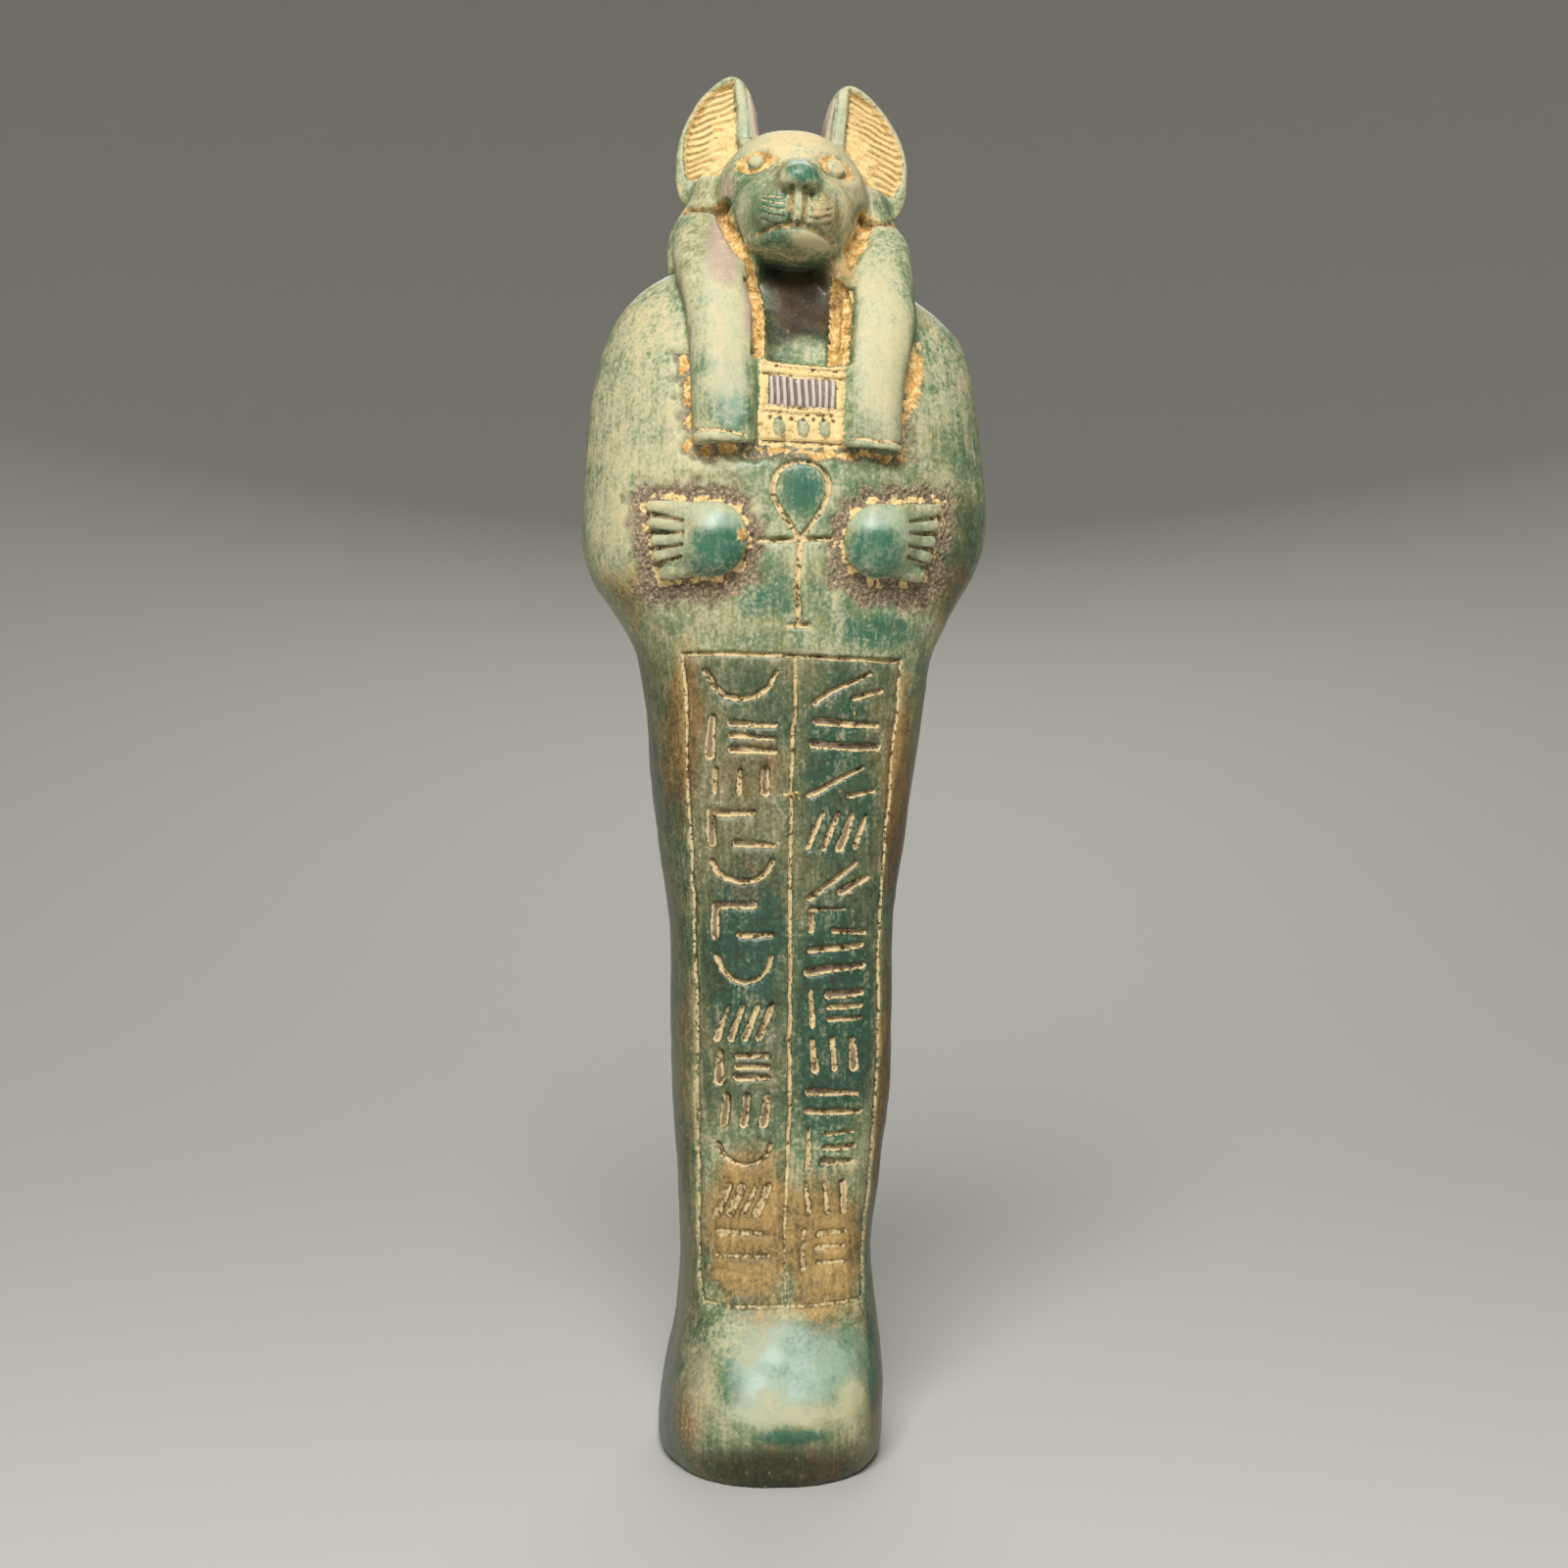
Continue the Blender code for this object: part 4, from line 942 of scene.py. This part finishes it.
def finish_shares(mesh, sizes):
    """Where each kind of finish, painted shade and painted highlight shows, as named values from 0 to 1 on
    the finished points.
    """
    points, normals = points_of(mesh), points_of(mesh, "normal")
    work = Carving(points, normals, sizes)
    flat, front = work.flat, work.facing
    x, y, z = points.T
    cuts = np.maximum.reduce((work.lines, work.gaps, work.borders, work.whiskers * 0.6, work.hem_line))
    # Walls that face down are given painted shade, as if lit from above
    facing_down = eased(-normals[:, 2], 0.08, 0.5)
    facing_up = eased(normals[:, 2], 0.3, 0.6)
    collar_ground = work.own_collar * (1.0 - work.drops) * (1.0 - work.tube_zone)
    spots = patch(flat, OCHRE_SPOTS) * front
    ochre = (
        work.sockets * 0.85,
        work.near_lappet,
        work.valley,
        work.crevice * 0.7,
        work.philtrum * 0.6,
        work.mouth * 0.6,
        collar_ground * 0.45,
        spots,
    )
    # Painted shade on the surfaces that face left and right, below the hands
    sides = eased(np.abs(normals[:, 0]), 0.45, 0.95) * eased(-z, -150.0, -135.0) * 0.55
    in_panel = 1.0 - eased(np.abs(x) / through(PANEL_EDGE, z)[:, 0], 0.94, 1.02)
    in_panel *= eased(z, 52.0, 66.0) * (1.0 - eased(z, 141.0, 142.5)) * front
    # The painted shade of the dark places and the sides, and the panel's darker ground
    dark = np.maximum.reduce((patch(flat, DARK_PLACES) * front, sides, PANEL_SHADE * in_panel))
    # Painted shade: the cuts' down-facing walls, the crevices, the beads, the nostrils, the notch under the
    # nose, the mouth and the philtrum are darkened as if in shadow
    painted_shade = (
        cuts * facing_down * 0.6,
        work.crevice * 0.5,
        work.beads * 0.8,
        work.nostrils * 0.55,
        work.notch * 0.7,
        work.mouth * 0.3,
        work.philtrum * 0.4,
    )
    throat_patch = patch(flat, THROAT_PATCH) * front
    hollow = hollowness(mesh, HOLLOW_PASSES) / HOLLOW_DEPTH
    ahead = eased(-normals[:, 1], -0.3, 0.1)
    ear_lip = 0.7 * work.ear_lip * (1.0 - facing_up) * ahead
    shares = {
        # The pale earth in the cuts is thinned on walls that face down, where the painted shade goes instead
        "fill": cuts * (1.0 - 0.5 * facing_down),
        "painted_shade": np.maximum.reduce(painted_shade),
        "ochre": np.maximum.reduce(ochre),
        "ribs": work.ribs,
        "beds": work.beds * work.lines,
        "tubes": np.clip(work.tubes + 0.02, 0.08, 1.02) * (work.tube_zone > 0.5),
        "stipple": work.stipple,
        "creamy": np.maximum.reduce((work.dish, collar_ground * 0.8, work.near_hand * 0.74)),
        "pale": np.maximum(patch(flat, PALE_PLACES), throat_patch * 0.6) * front,
        "deep": patch(flat, DEEP_PLACES) * front * (1.0 - work.stipple),
        "turquoise": patch(flat, TURQUOISE_PLACES) * front,
        "blush": np.maximum(patch(flat, BLUSH_PLACES) * front, ear_lip),
        "dark": np.clip(dark - throat_patch, 0.0, 1.0),
        "tan": patch(flat, TAN_PLACES) * front,
        "calm": patch(flat, CALM_PLACES) * front,
        "hollow": np.clip(hollow, 0.0, 1.0),
        "edge": np.clip(-hollow, 0.0, 1.0),
    }
    for name in FRONT_SHARES:
        shares[name] = shares[name] * ahead
    return shares


def linear(red, green, blue):
    """A display colour in 256 steps, as the linear colour that shaders use."""
    share = np.array((red, green, blue)) / 255.0
    light = np.where(share < 0.04045, share / 12.92, ((share + 0.055) / 1.055) ** 2.4)
    return tuple(float(v) for v in light)


class Socket:
    """One output of a shader node. Arithmetic on it adds Math nodes."""

    def __init__(self, paint, output):
        self.paint, self.output = paint, output

    def maths(self, operation, *values):
        return self.paint.node("ShaderNodeMath", {"operation": operation}, dict(enumerate(values)))

    def __add__(self, other):
        return self.maths("ADD", self, other)

    def __sub__(self, other):
        return self.maths("SUBTRACT", self, other)

    def __mul__(self, other):
        return self.maths("MULTIPLY", self, other)

    def __truediv__(self, other):
        return self.maths("DIVIDE", self, other)

    def __radd__(self, other):
        return self.maths("ADD", other, self)

    def __rsub__(self, other):
        return self.maths("SUBTRACT", other, self)

    def __rmul__(self, other):
        return self.maths("MULTIPLY", other, self)

    def larger(self, other):
        return self.maths("MAXIMUM", self, other)


class Paint:
    """Builds one material's nodes."""

    def __init__(self, name):
        self.material = bpy.data.materials.new(name)
        self.material.use_nodes = True
        self.nodes = self.material.node_tree.nodes
        self.links = self.material.node_tree.links
        self.shader = self.nodes["Principled BSDF"]

    def put(self, node, name, value):
        if isinstance(value, Socket):
            self.links.new(value.output, node.inputs[name])
        else:
            node.inputs[name].default_value = value

    def node(self, kind, settings, values, output=0):
        """Adds a node, sets it up, then gives its sockets values or links. Returns the output asked for."""
        node = self.nodes.new(kind)
        for name, value in settings.items():
            setattr(node, name, value)
        for name, value in values.items():
            self.put(node, name, value)
        return Socket(self, node.outputs[output])

    def attribute(self, name):
        return self.node("ShaderNodeAttribute", {"attribute_name": name}, {}, "Fac")

    def noise(self, place, scale, detail=3.0, roughness=0.55, distortion=0.0):
        values = {"Vector": place, "Scale": scale, "Detail": detail, "Roughness": roughness}
        return self.node("ShaderNodeTexNoise", {}, {**values, "Distortion": distortion}, "Fac")

    def stretched(self, place, scale):
        return self.node("ShaderNodeMapping", {}, {"Vector": place, "Scale": scale})

    def moved(self, place, shift):
        return self.node("ShaderNodeMapping", {}, {"Vector": place, "Location": shift})

    def step(self, value, low, high):
        """0 below low, 1 above high, smooth between."""
        values = {"Value": value, "From Min": low, "From Max": high}
        return self.node("ShaderNodeMapRange", {"interpolation_type": "SMOOTHSTEP"}, values)

    def mix(self, share, first, second, way="MIX"):
        """From the first colour to the second by a share. Each is a socket or a plain colour."""
        first, second = (one if isinstance(one, Socket) else opaque(one) for one in (first, second))
        values = {0: share, 6: first, 7: second}
        return self.node("ShaderNodeMix", {"data_type": "RGBA", "blend_type": way}, values, 2)


def opaque(colour):
    """The colour with full alpha, as shader sockets take it."""
    return (*colour[:3], 1.0)


# The glaze's unevenness: scale, detail and roughness of each noise, the shift of the grain and the squeeze
# that draws the streaks out upwards
MOTTLES = {
    "broad": (45.0, 3.0),
    "medium": (160.0, 4.0, 0.6),
    "small": (600.0, 3.0, 0.6),
    "fine": (1600.0, 2.0, 0.5),
    "grain": (2300.0, 1.0, 0.5),
    "streaks": (1100.0, 3.0, 0.6),
}
GRAIN_SHIFT = (0.31, 0.17, 0.23)
STREAK_STRETCH = (1.0, 1.0, 0.12)
BUMP_HEIGHT = 0.0004
EARTH_ROUGHNESS = 0.88


def glaze_material(colours):
    """Green glaze over pale stone: rubbed thin where it stands high, with earth in the cuts and hollows, and
    painted shade in the hollows and on the cuts' down-facing walls.
    """
    paint = Paint("worn_green_glaze")
    place = paint.node("ShaderNodeTexCoord", {}, {}, "Object")
    sizes = ("broad", "medium", "small", "fine")
    broad, medium, small, fine = (paint.noise(place, *MOTTLES[name]) for name in sizes)
    grain = paint.noise(paint.moved(place, GRAIN_SHIFT), *MOTTLES["grain"])
    streaks = paint.noise(paint.stretched(place, STREAK_STRETCH), *MOTTLES["streaks"])
    pale, deep, dark, tan = map(paint.attribute, ("pale", "deep", "dark", "tan"))
    fill, painted_shade, ochre, stipple = map(paint.attribute, ("fill", "painted_shade", "ochre", "stipple"))
    creamy, ribs, tubes, beds = map(paint.attribute, ("creamy", "ribs", "tubes", "beds"))
    hollow, edge, calm = map(paint.attribute, ("hollow", "edge", "calm"))
    turquoise, blush = map(paint.attribute, ("turquoise", "blush"))

    def spread(mask, softness=0.15, grit=1.3):
        """A mask whose border breaks up into grains."""
        rough = mask + (fine - 0.5) * grit + (small - 0.5) * (0.7 * grit)
        return paint.step(rough, 0.5 - softness, 0.5 + softness)

    noise = 0.8 * broad + 0.9 * medium + 0.9 * small + 1.3 * fine + 1.1 * streaks - 2.5
    # How far the glaze wears pale; the pale places also carry painted highlights, and the dark places'
    # painted shade keeps more of the dark glaze
    wear_and_painted_light = noise * (1.0 - 0.6 * calm) + 0.5 + 0.45 * pale - 0.3 * deep
    wear_and_painted_light = wear_and_painted_light - 0.35 * dark + 0.35 * edge - 0.4 * hollow
    glaze = paint.mix(paint.step(broad + 0.5 * medium, 0.65, 0.85), colours.green, colours.olive)
    glaze = paint.mix(paint.step(deep + 1.4 * medium - 0.7, 0.2, 0.8), glaze, colours.deep_green)
    glaze = paint.mix(paint.step(turquoise + 1.2 * medium - 0.6, 0.1, 0.9), glaze, colours.turquoise)
    colour = paint.mix(paint.step(wear_and_painted_light, 0.45, -0.1) * 0.8, glaze, colours.dark)
    colour = paint.mix(paint.step(wear_and_painted_light, 0.35, 1.0) * 0.9, colour, colours.worn)
    stain = paint.mix(paint.step(wear_and_painted_light, 0.1, 0.9), colours.dark_tan, colours.tan)
    stain = paint.mix(paint.step(wear_and_painted_light, 0.8, 1.5) * 0.8, stain, colours.ochre)
    colour = paint.mix(paint.step(tan + 1.2 * medium - 0.6, 0.1, 0.8) * 0.85, colour, stain)
    colour = paint.mix(paint.step(blush + 1.2 * medium - 0.6, 0.1, 0.9) * 0.75, colour, colours.blush)
    # Painted shade on the throat, under the jaw, on the flanks and at the toes, and the panel's darker ground
    colour = paint.mix(dark, colour, colours.shade_and_grime, "MULTIPLY")
    clear = (1.0 - 0.7 * calm) * (1.0 - 0.8 * tan)
    flaked = paint.step(wear_and_painted_light + 0.8 * grain - 0.4, 0.9, 1.25)
    colour = paint.mix(flaked * clear * 0.8, colour, colours.cream)
    flecks = paint.step(1.2 * fine + grain + 0.3 * small, 1.1, 1.65)
    rough_ground = paint.mix(flecks * 0.65, colours.purple_brown, colours.pink_cream)
    rough_ground = paint.mix(paint.step(grain, 0.42, 0.3) * 0.25, rough_ground, colours.shade_and_specks)
    colour = paint.mix(spread(stipple * 0.95, 0.32, 0.9) * 0.9, colour, rough_ground)
    strings = paint.mix(paint.step(tubes, 0.3, 0.7), colours.purple_brown, colours.lavender)
    colour = paint.mix(paint.step(tubes, 0.01, 0.05), colour, strings)
    earth = paint.mix(paint.step(small + fine, 0.9, 1.25), colours.ochre, colours.straw)
    earth = paint.mix(paint.step(small + 0.7 * grain, 0.85, 0.6) * 0.75, earth, colours.dark_tan)
    colour = paint.mix(spread(ochre * 0.95), colour, earth)
    pale_earth = paint.mix(paint.step(small + fine, 1.0, 0.8) * 0.5, colours.straw, colours.ochre)
    colour = paint.mix(spread(creamy * 0.95), colour, pale_earth)
    colour = paint.mix(paint.step(ribs, 0.3, 1.0) * 0.55, colour, colours.dark_tan)
    lines = paint.mix(paint.step(small + fine, 1.0, 0.8), colours.cream, colours.dark_tan)
    lines = paint.mix(paint.step(beds + 0.8 * small - 0.4, 0.3, 0.8) * 0.8, lines, colours.purple_brown)
    colour = paint.mix(spread(fill * 1.2, 0.2, 1.0), colour, lines)
    # Painted shade in the hollows
    colour = paint.mix(paint.step(hollow, 0.5, 1.2) * 0.5, colour, colours.shade_and_specks)
    # Painted shade on the cuts' down-facing walls and in the small recesses of the face and the collar
    colour = paint.mix(paint.step(painted_shade + fine - 0.5, 0.2, 0.7) * 0.85, colour, colours.shade_and_specks)

    earthy = paint.step(fill.larger(ochre).larger(stipple).larger(creamy), 0.2, 0.6)
    rough = 0.26 + 0.25 * paint.step(wear_and_painted_light, 0.4, 0.9) + 0.2 * medium + 0.2 * tan
    paint.put(paint.shader, "Base Color", colour)
    rough = paint.node("ShaderNodeMix", {}, {0: earthy, 2: rough, 3: EARTH_ROUGHNESS})
    paint.put(paint.shader, "Roughness", rough)
    height = (0.4 * fine + 0.35 * small + 0.25 * streaks) * (0.3 + 0.7 * earthy - 0.24 * calm)
    bump = paint.node("ShaderNodeBump", {}, {"Strength": 1.0, "Distance": BUMP_HEIGHT, "Height": height})
    paint.put(paint.shader, "Normal", bump)
    paint.put(paint.shader, "Specular IOR Level", 0.5)
    return paint.material


def plain_material(name, colour, roughness):
    paint = Paint(name)
    paint.put(paint.shader, "Base Color", opaque(colour))
    paint.put(paint.shader, "Roughness", roughness)
    return paint.material


def length(name, description, default):
    kind = {"min": 0.0, "precision": 5, "subtype": "DISTANCE", "unit": "LENGTH"}
    return bpy.props.FloatProperty(name=name, description=description, default=default, **kind)


def tint(name, description, *display):
    kind = {"size": 3, "min": 0.0, "max": 1.0, "subtype": "COLOR"}
    return bpy.props.FloatVectorProperty(name=name, description=description, default=linear(*display), **kind)


def watts(name, description, default):
    return bpy.props.FloatProperty(name=name, description=description, default=default, unit="POWER")


class StatueSizes(bpy.types.PropertyGroup):
    line_width: length("Line width", "Width of the sign's, the panel's and the strokes' lines", 0.00165)
    line_depth: length("Line depth", "Depth of those lines", 0.0009)
    fine_width: length("Fine line width", "Width of the collar's lines", 0.0009)
    fine_depth: length("Fine line depth", "Depth of the collar's lines and the ears' ribs", 0.0005)
    ear_depth: length("Ear depth", "How far the ears are dished", 0.0016)
    moat_depth: length("Hollow depth", "How far the rough band round the hands is cut back", 0.0008)
    waviness: bpy.props.FloatProperty(
        name="Waviness",
        description="How uneven the hand-finished surface is",
        default=0.09,
        min=0.0,
        max=0.5,
    )
    triangles: bpy.props.IntProperty(
        name="Triangles",
        description="How many triangles the finished figure has",
        default=192000,
        min=20000,
        max=199000,
    )


class StatueColours(bpy.types.PropertyGroup):
    green: tint("Glaze", "Green of the glaze", 104, 128, 92)
    olive: tint("Yellow glaze", "Where the glaze turns yellow", 134, 136, 92)
    deep_green: tint("Deep glaze", "Where the glaze is thick and blue-green", 55, 108, 84)
    # Also the painted highlights across the toes and down the lappets
    worn: tint("Worn glaze", "Where the glaze is rubbed thin", 192, 188, 150)
    # Also the painted highlights across the toes, on the palms' tops and on the left lappet
    turquoise: tint("Pale glaze", "Where the glaze is a smooth pale blue-green", 146, 172, 150)
    blush: tint("Blushed glaze", "Where the glaze turns a dull rose", 176, 150, 136)
    tan: tint("Stained glaze", "Warm brown stains", 168, 130, 68)
    dark_tan: tint("Dark stains", "The darker parts of the stains", 98, 78, 42)
    dark: tint("Dark glaze", "Dark mottling in the glaze", 66, 68, 48)
    # Painted shade on the throat, under the jaw, the flanks and the toes, and the panel's darker ground
    shade_and_grime: tint("Grime", "What darkens the glaze on the throat, the flanks and the toes", 116, 99, 78)
    cream: tint("Pale earth", "Pale earth in the cuts", 220, 196, 146)
    straw: tint("Straw earth", "Yellow-white earth in the ears and round the hands", 234, 204, 144)
    ochre: tint("Ochre earth", "Ochre earth in the hollows", 206, 158, 84)
    # Painted shade for the cuts' down-facing walls, the small recesses and the hollows, and also the dark
    # specks in the rough stone
    shade_and_specks: tint("Dark recess", "The shaded upper walls of the cuts", 58, 46, 38)
    purple_brown: tint("Bare stone", "Bare stone where the chisel left it rough", 112, 93, 78)
    pink_cream: tint("Stone flecks", "Pale flecks on the rough stone", 214, 188, 150)
    lavender: tint("Worn tubes", "The collar's worn tubes", 194, 182, 172)


class StageSettings(bpy.types.PropertyGroup):
    floor_colour: tint("Floor", "Colour of the floor and the surroundings", 196, 194, 188)
    key_power: watts("Key light", "Power of the main light", 6.5)
    fill_power: watts("Fill light", "Power of the light behind the statue", 3.0)
    azimuth: bpy.props.FloatProperty(
        name="Azimuth",
        description="How far the camera stands to one side",
        default=math.radians(-5.5),
        subtype="ANGLE",
    )
    distance: length("Distance", "How far the camera stands from the statue's middle", 0.4011)
    target_height: length("Target height", "Height that the camera looks at", 0.1201)


class STATUE_OT_figure(bpy.types.Operator):
    """Carve the statue's visible surface and give it its worn green glaze"""

    bl_idname = "statue.figure"
    bl_label = "Carve the figure"

    def execute(self, context):
        sizes, colours = context.scene.statue_sizes, context.scene.statue_colours
        block = rough_block()
        if not block.vertices:
            raise RuntimeError("the forms gave no block to carve")
        soften(block)
        carve(block, sizes)
        carved = new_object("carved", block)
        carved.modifiers.new("triangles", "TRIANGULATE")
        fewer = carved.modifiers.new("fewer", "DECIMATE")
        fewer.ratio = sizes.triangles / (2.0 * len(block.polygons))
        figure = finished_mesh(carved)
        for name, share in finish_shares(figure, sizes).items():
            figure.attributes.new(name, "FLOAT", "POINT").data.foreach_set("value", share.astype(np.float32))
        place(figure, settle(points_of(figure)))
        figure.shade_smooth()
        figure.materials.clear()
        figure.materials.append(glaze_material(colours))
        piece = new_object("carved_figure", figure)
        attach(piece, "root")
        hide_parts(SOLID)
        return {"FINISHED"}


# The floor's level part, the radius of its bend and the height of its wall, and the lamps: place and size,
# in metres, then the point they light
FLOOR_FLAT, FLOOR_BEND, FLOOR_TOP = 0.3, 1.3, 2.0
FLOOR_ROUND = 96
KEY_LAMP = ((-0.10, -0.56, 0.62), 0.32)
BACK_LAMP = ((0.1, 0.75, 0.75), 0.6)
LIT_POINT = Vector((0.0, 0.0, 0.13))
SURROUNDINGS = 0.35
FLOOR_ROUGHNESS = 0.9
LENS, SENSOR, NEAREST = 50.0, 36.0, 0.01
TARGET_DEPTH = 0.0026


class STATUE_OT_stage(bpy.types.Operator):
    """Set the floor, the soft lights and the camera"""

    bl_idname = "statue.stage"
    bl_label = "Set the stage"

    def execute(self, context):
        stage = context.scene.statue_stage
        self.floor(stage)
        self.lights(context, stage)
        self.camera(context, stage)
        return {"FINISHED"}

    def floor(self, stage):
        """A round floor that curves up: radius = flat + bend·sin, height = bend·(1 - cos), then a wall."""
        turn = np.linspace(0.0, math.pi / 2, 48)
        radius = np.append(FLOOR_FLAT + FLOOR_BEND * np.sin(turn), FLOOR_FLAT + FLOOR_BEND)[:, None]
        height = np.append(FLOOR_BEND * (1.0 - np.cos(turn)), FLOOR_TOP)[:, None]
        around = np.linspace(0.0, 2 * math.pi, FLOOR_ROUND, endpoint=False)
        rows = np.stack((radius * np.cos(around), radius * np.sin(around), height + 0 * around), axis=-1)
        points, sides, ends = skin(rows)
        mesh = mesh_of([(points, sides[:, ::-1], ends[:FLOOR_ROUND, ::-1])], "floor")
        mesh.shade_smooth()
        mesh.materials.append(plain_material("pale_floor", stage.floor_colour, FLOOR_ROUGHNESS))
        new_object("floor", mesh)

    def lights(self, context, stage):
        """A soft key above the camera, a soft light behind, and a pale world."""
        lamps = (("key", *KEY_LAMP, stage.key_power), ("back", *BACK_LAMP, stage.fill_power))
        for name, spot, size, strength in lamps:
            lamp = bpy.data.lights.new(name, "AREA")
            lamp.energy = strength
            lamp.size = size
            obj = new_object(name, lamp)
            obj.location = spot
            obj.rotation_euler = (LIT_POINT - Vector(spot)).to_track_quat("-Z", "Y").to_euler()
        world = bpy.data.worlds.new("surroundings")
        world.use_nodes = True
        back = world.node_tree.nodes["Background"]
        back.inputs["Color"].default_value = opaque(stage.floor_colour)
        back.inputs["Strength"].default_value = SURROUNDINGS
        context.scene.world = world
        context.scene.view_settings.view_transform = "Standard"

    def camera(self, context, stage):
        """The photo's viewpoint: level, a little to one side of the front."""
        lens = bpy.data.cameras.new("camera")
        lens.lens = LENS
        lens.sensor_width = SENSOR
        lens.clip_start = NEAREST
        camera = new_object("camera", lens)
        target = Vector((0.0, TARGET_DEPTH, stage.target_height))
        away = Vector((math.sin(stage.azimuth), -math.cos(stage.azimuth), 0.0))
        camera.location = target + stage.distance * away
        camera.rotation_euler = (-away).to_track_quat("-Z", "Y").to_euler()
        context.scene.camera = camera


class STATUE_PT_panel(bpy.types.Panel):
    """Sizes, colours and buttons for the statue"""

    bl_idname = "STATUE_PT_panel"
    bl_label = "Statue"
    bl_space_type = "VIEW_3D"
    bl_region_type = "UI"
    bl_category = "Statue"

    def draw(self, context):
        scene = context.scene
        for group, operator in (
            (scene.statue_sizes, None),
            (scene.statue_colours, STATUE_OT_figure),
            (scene.statue_stage, STATUE_OT_stage),
        ):
            box = self.layout.box()
            for name in group.__annotations__:
                box.prop(group, name)
            if operator:
                box.operator(operator.bl_idname)


CLASSES = (StatueSizes, StatueColours, StageSettings, STATUE_OT_figure, STATUE_OT_stage, STATUE_PT_panel)


def register():
    for one in CLASSES:
        bpy.utils.register_class(one)
    scene = bpy.types.Scene
    scene.statue_sizes = bpy.props.PointerProperty(type=StatueSizes)
    scene.statue_colours = bpy.props.PointerProperty(type=StatueColours)
    scene.statue_stage = bpy.props.PointerProperty(type=StageSettings)


def unregister():
    scene = bpy.types.Scene
    del scene.statue_sizes, scene.statue_colours, scene.statue_stage
    for one in reversed(CLASSES):
        bpy.utils.unregister_class(one)


def main():
    register()
    bpy.ops.statue.figure()
    bpy.ops.statue.stage()


if __name__ == "__main__":
    main()
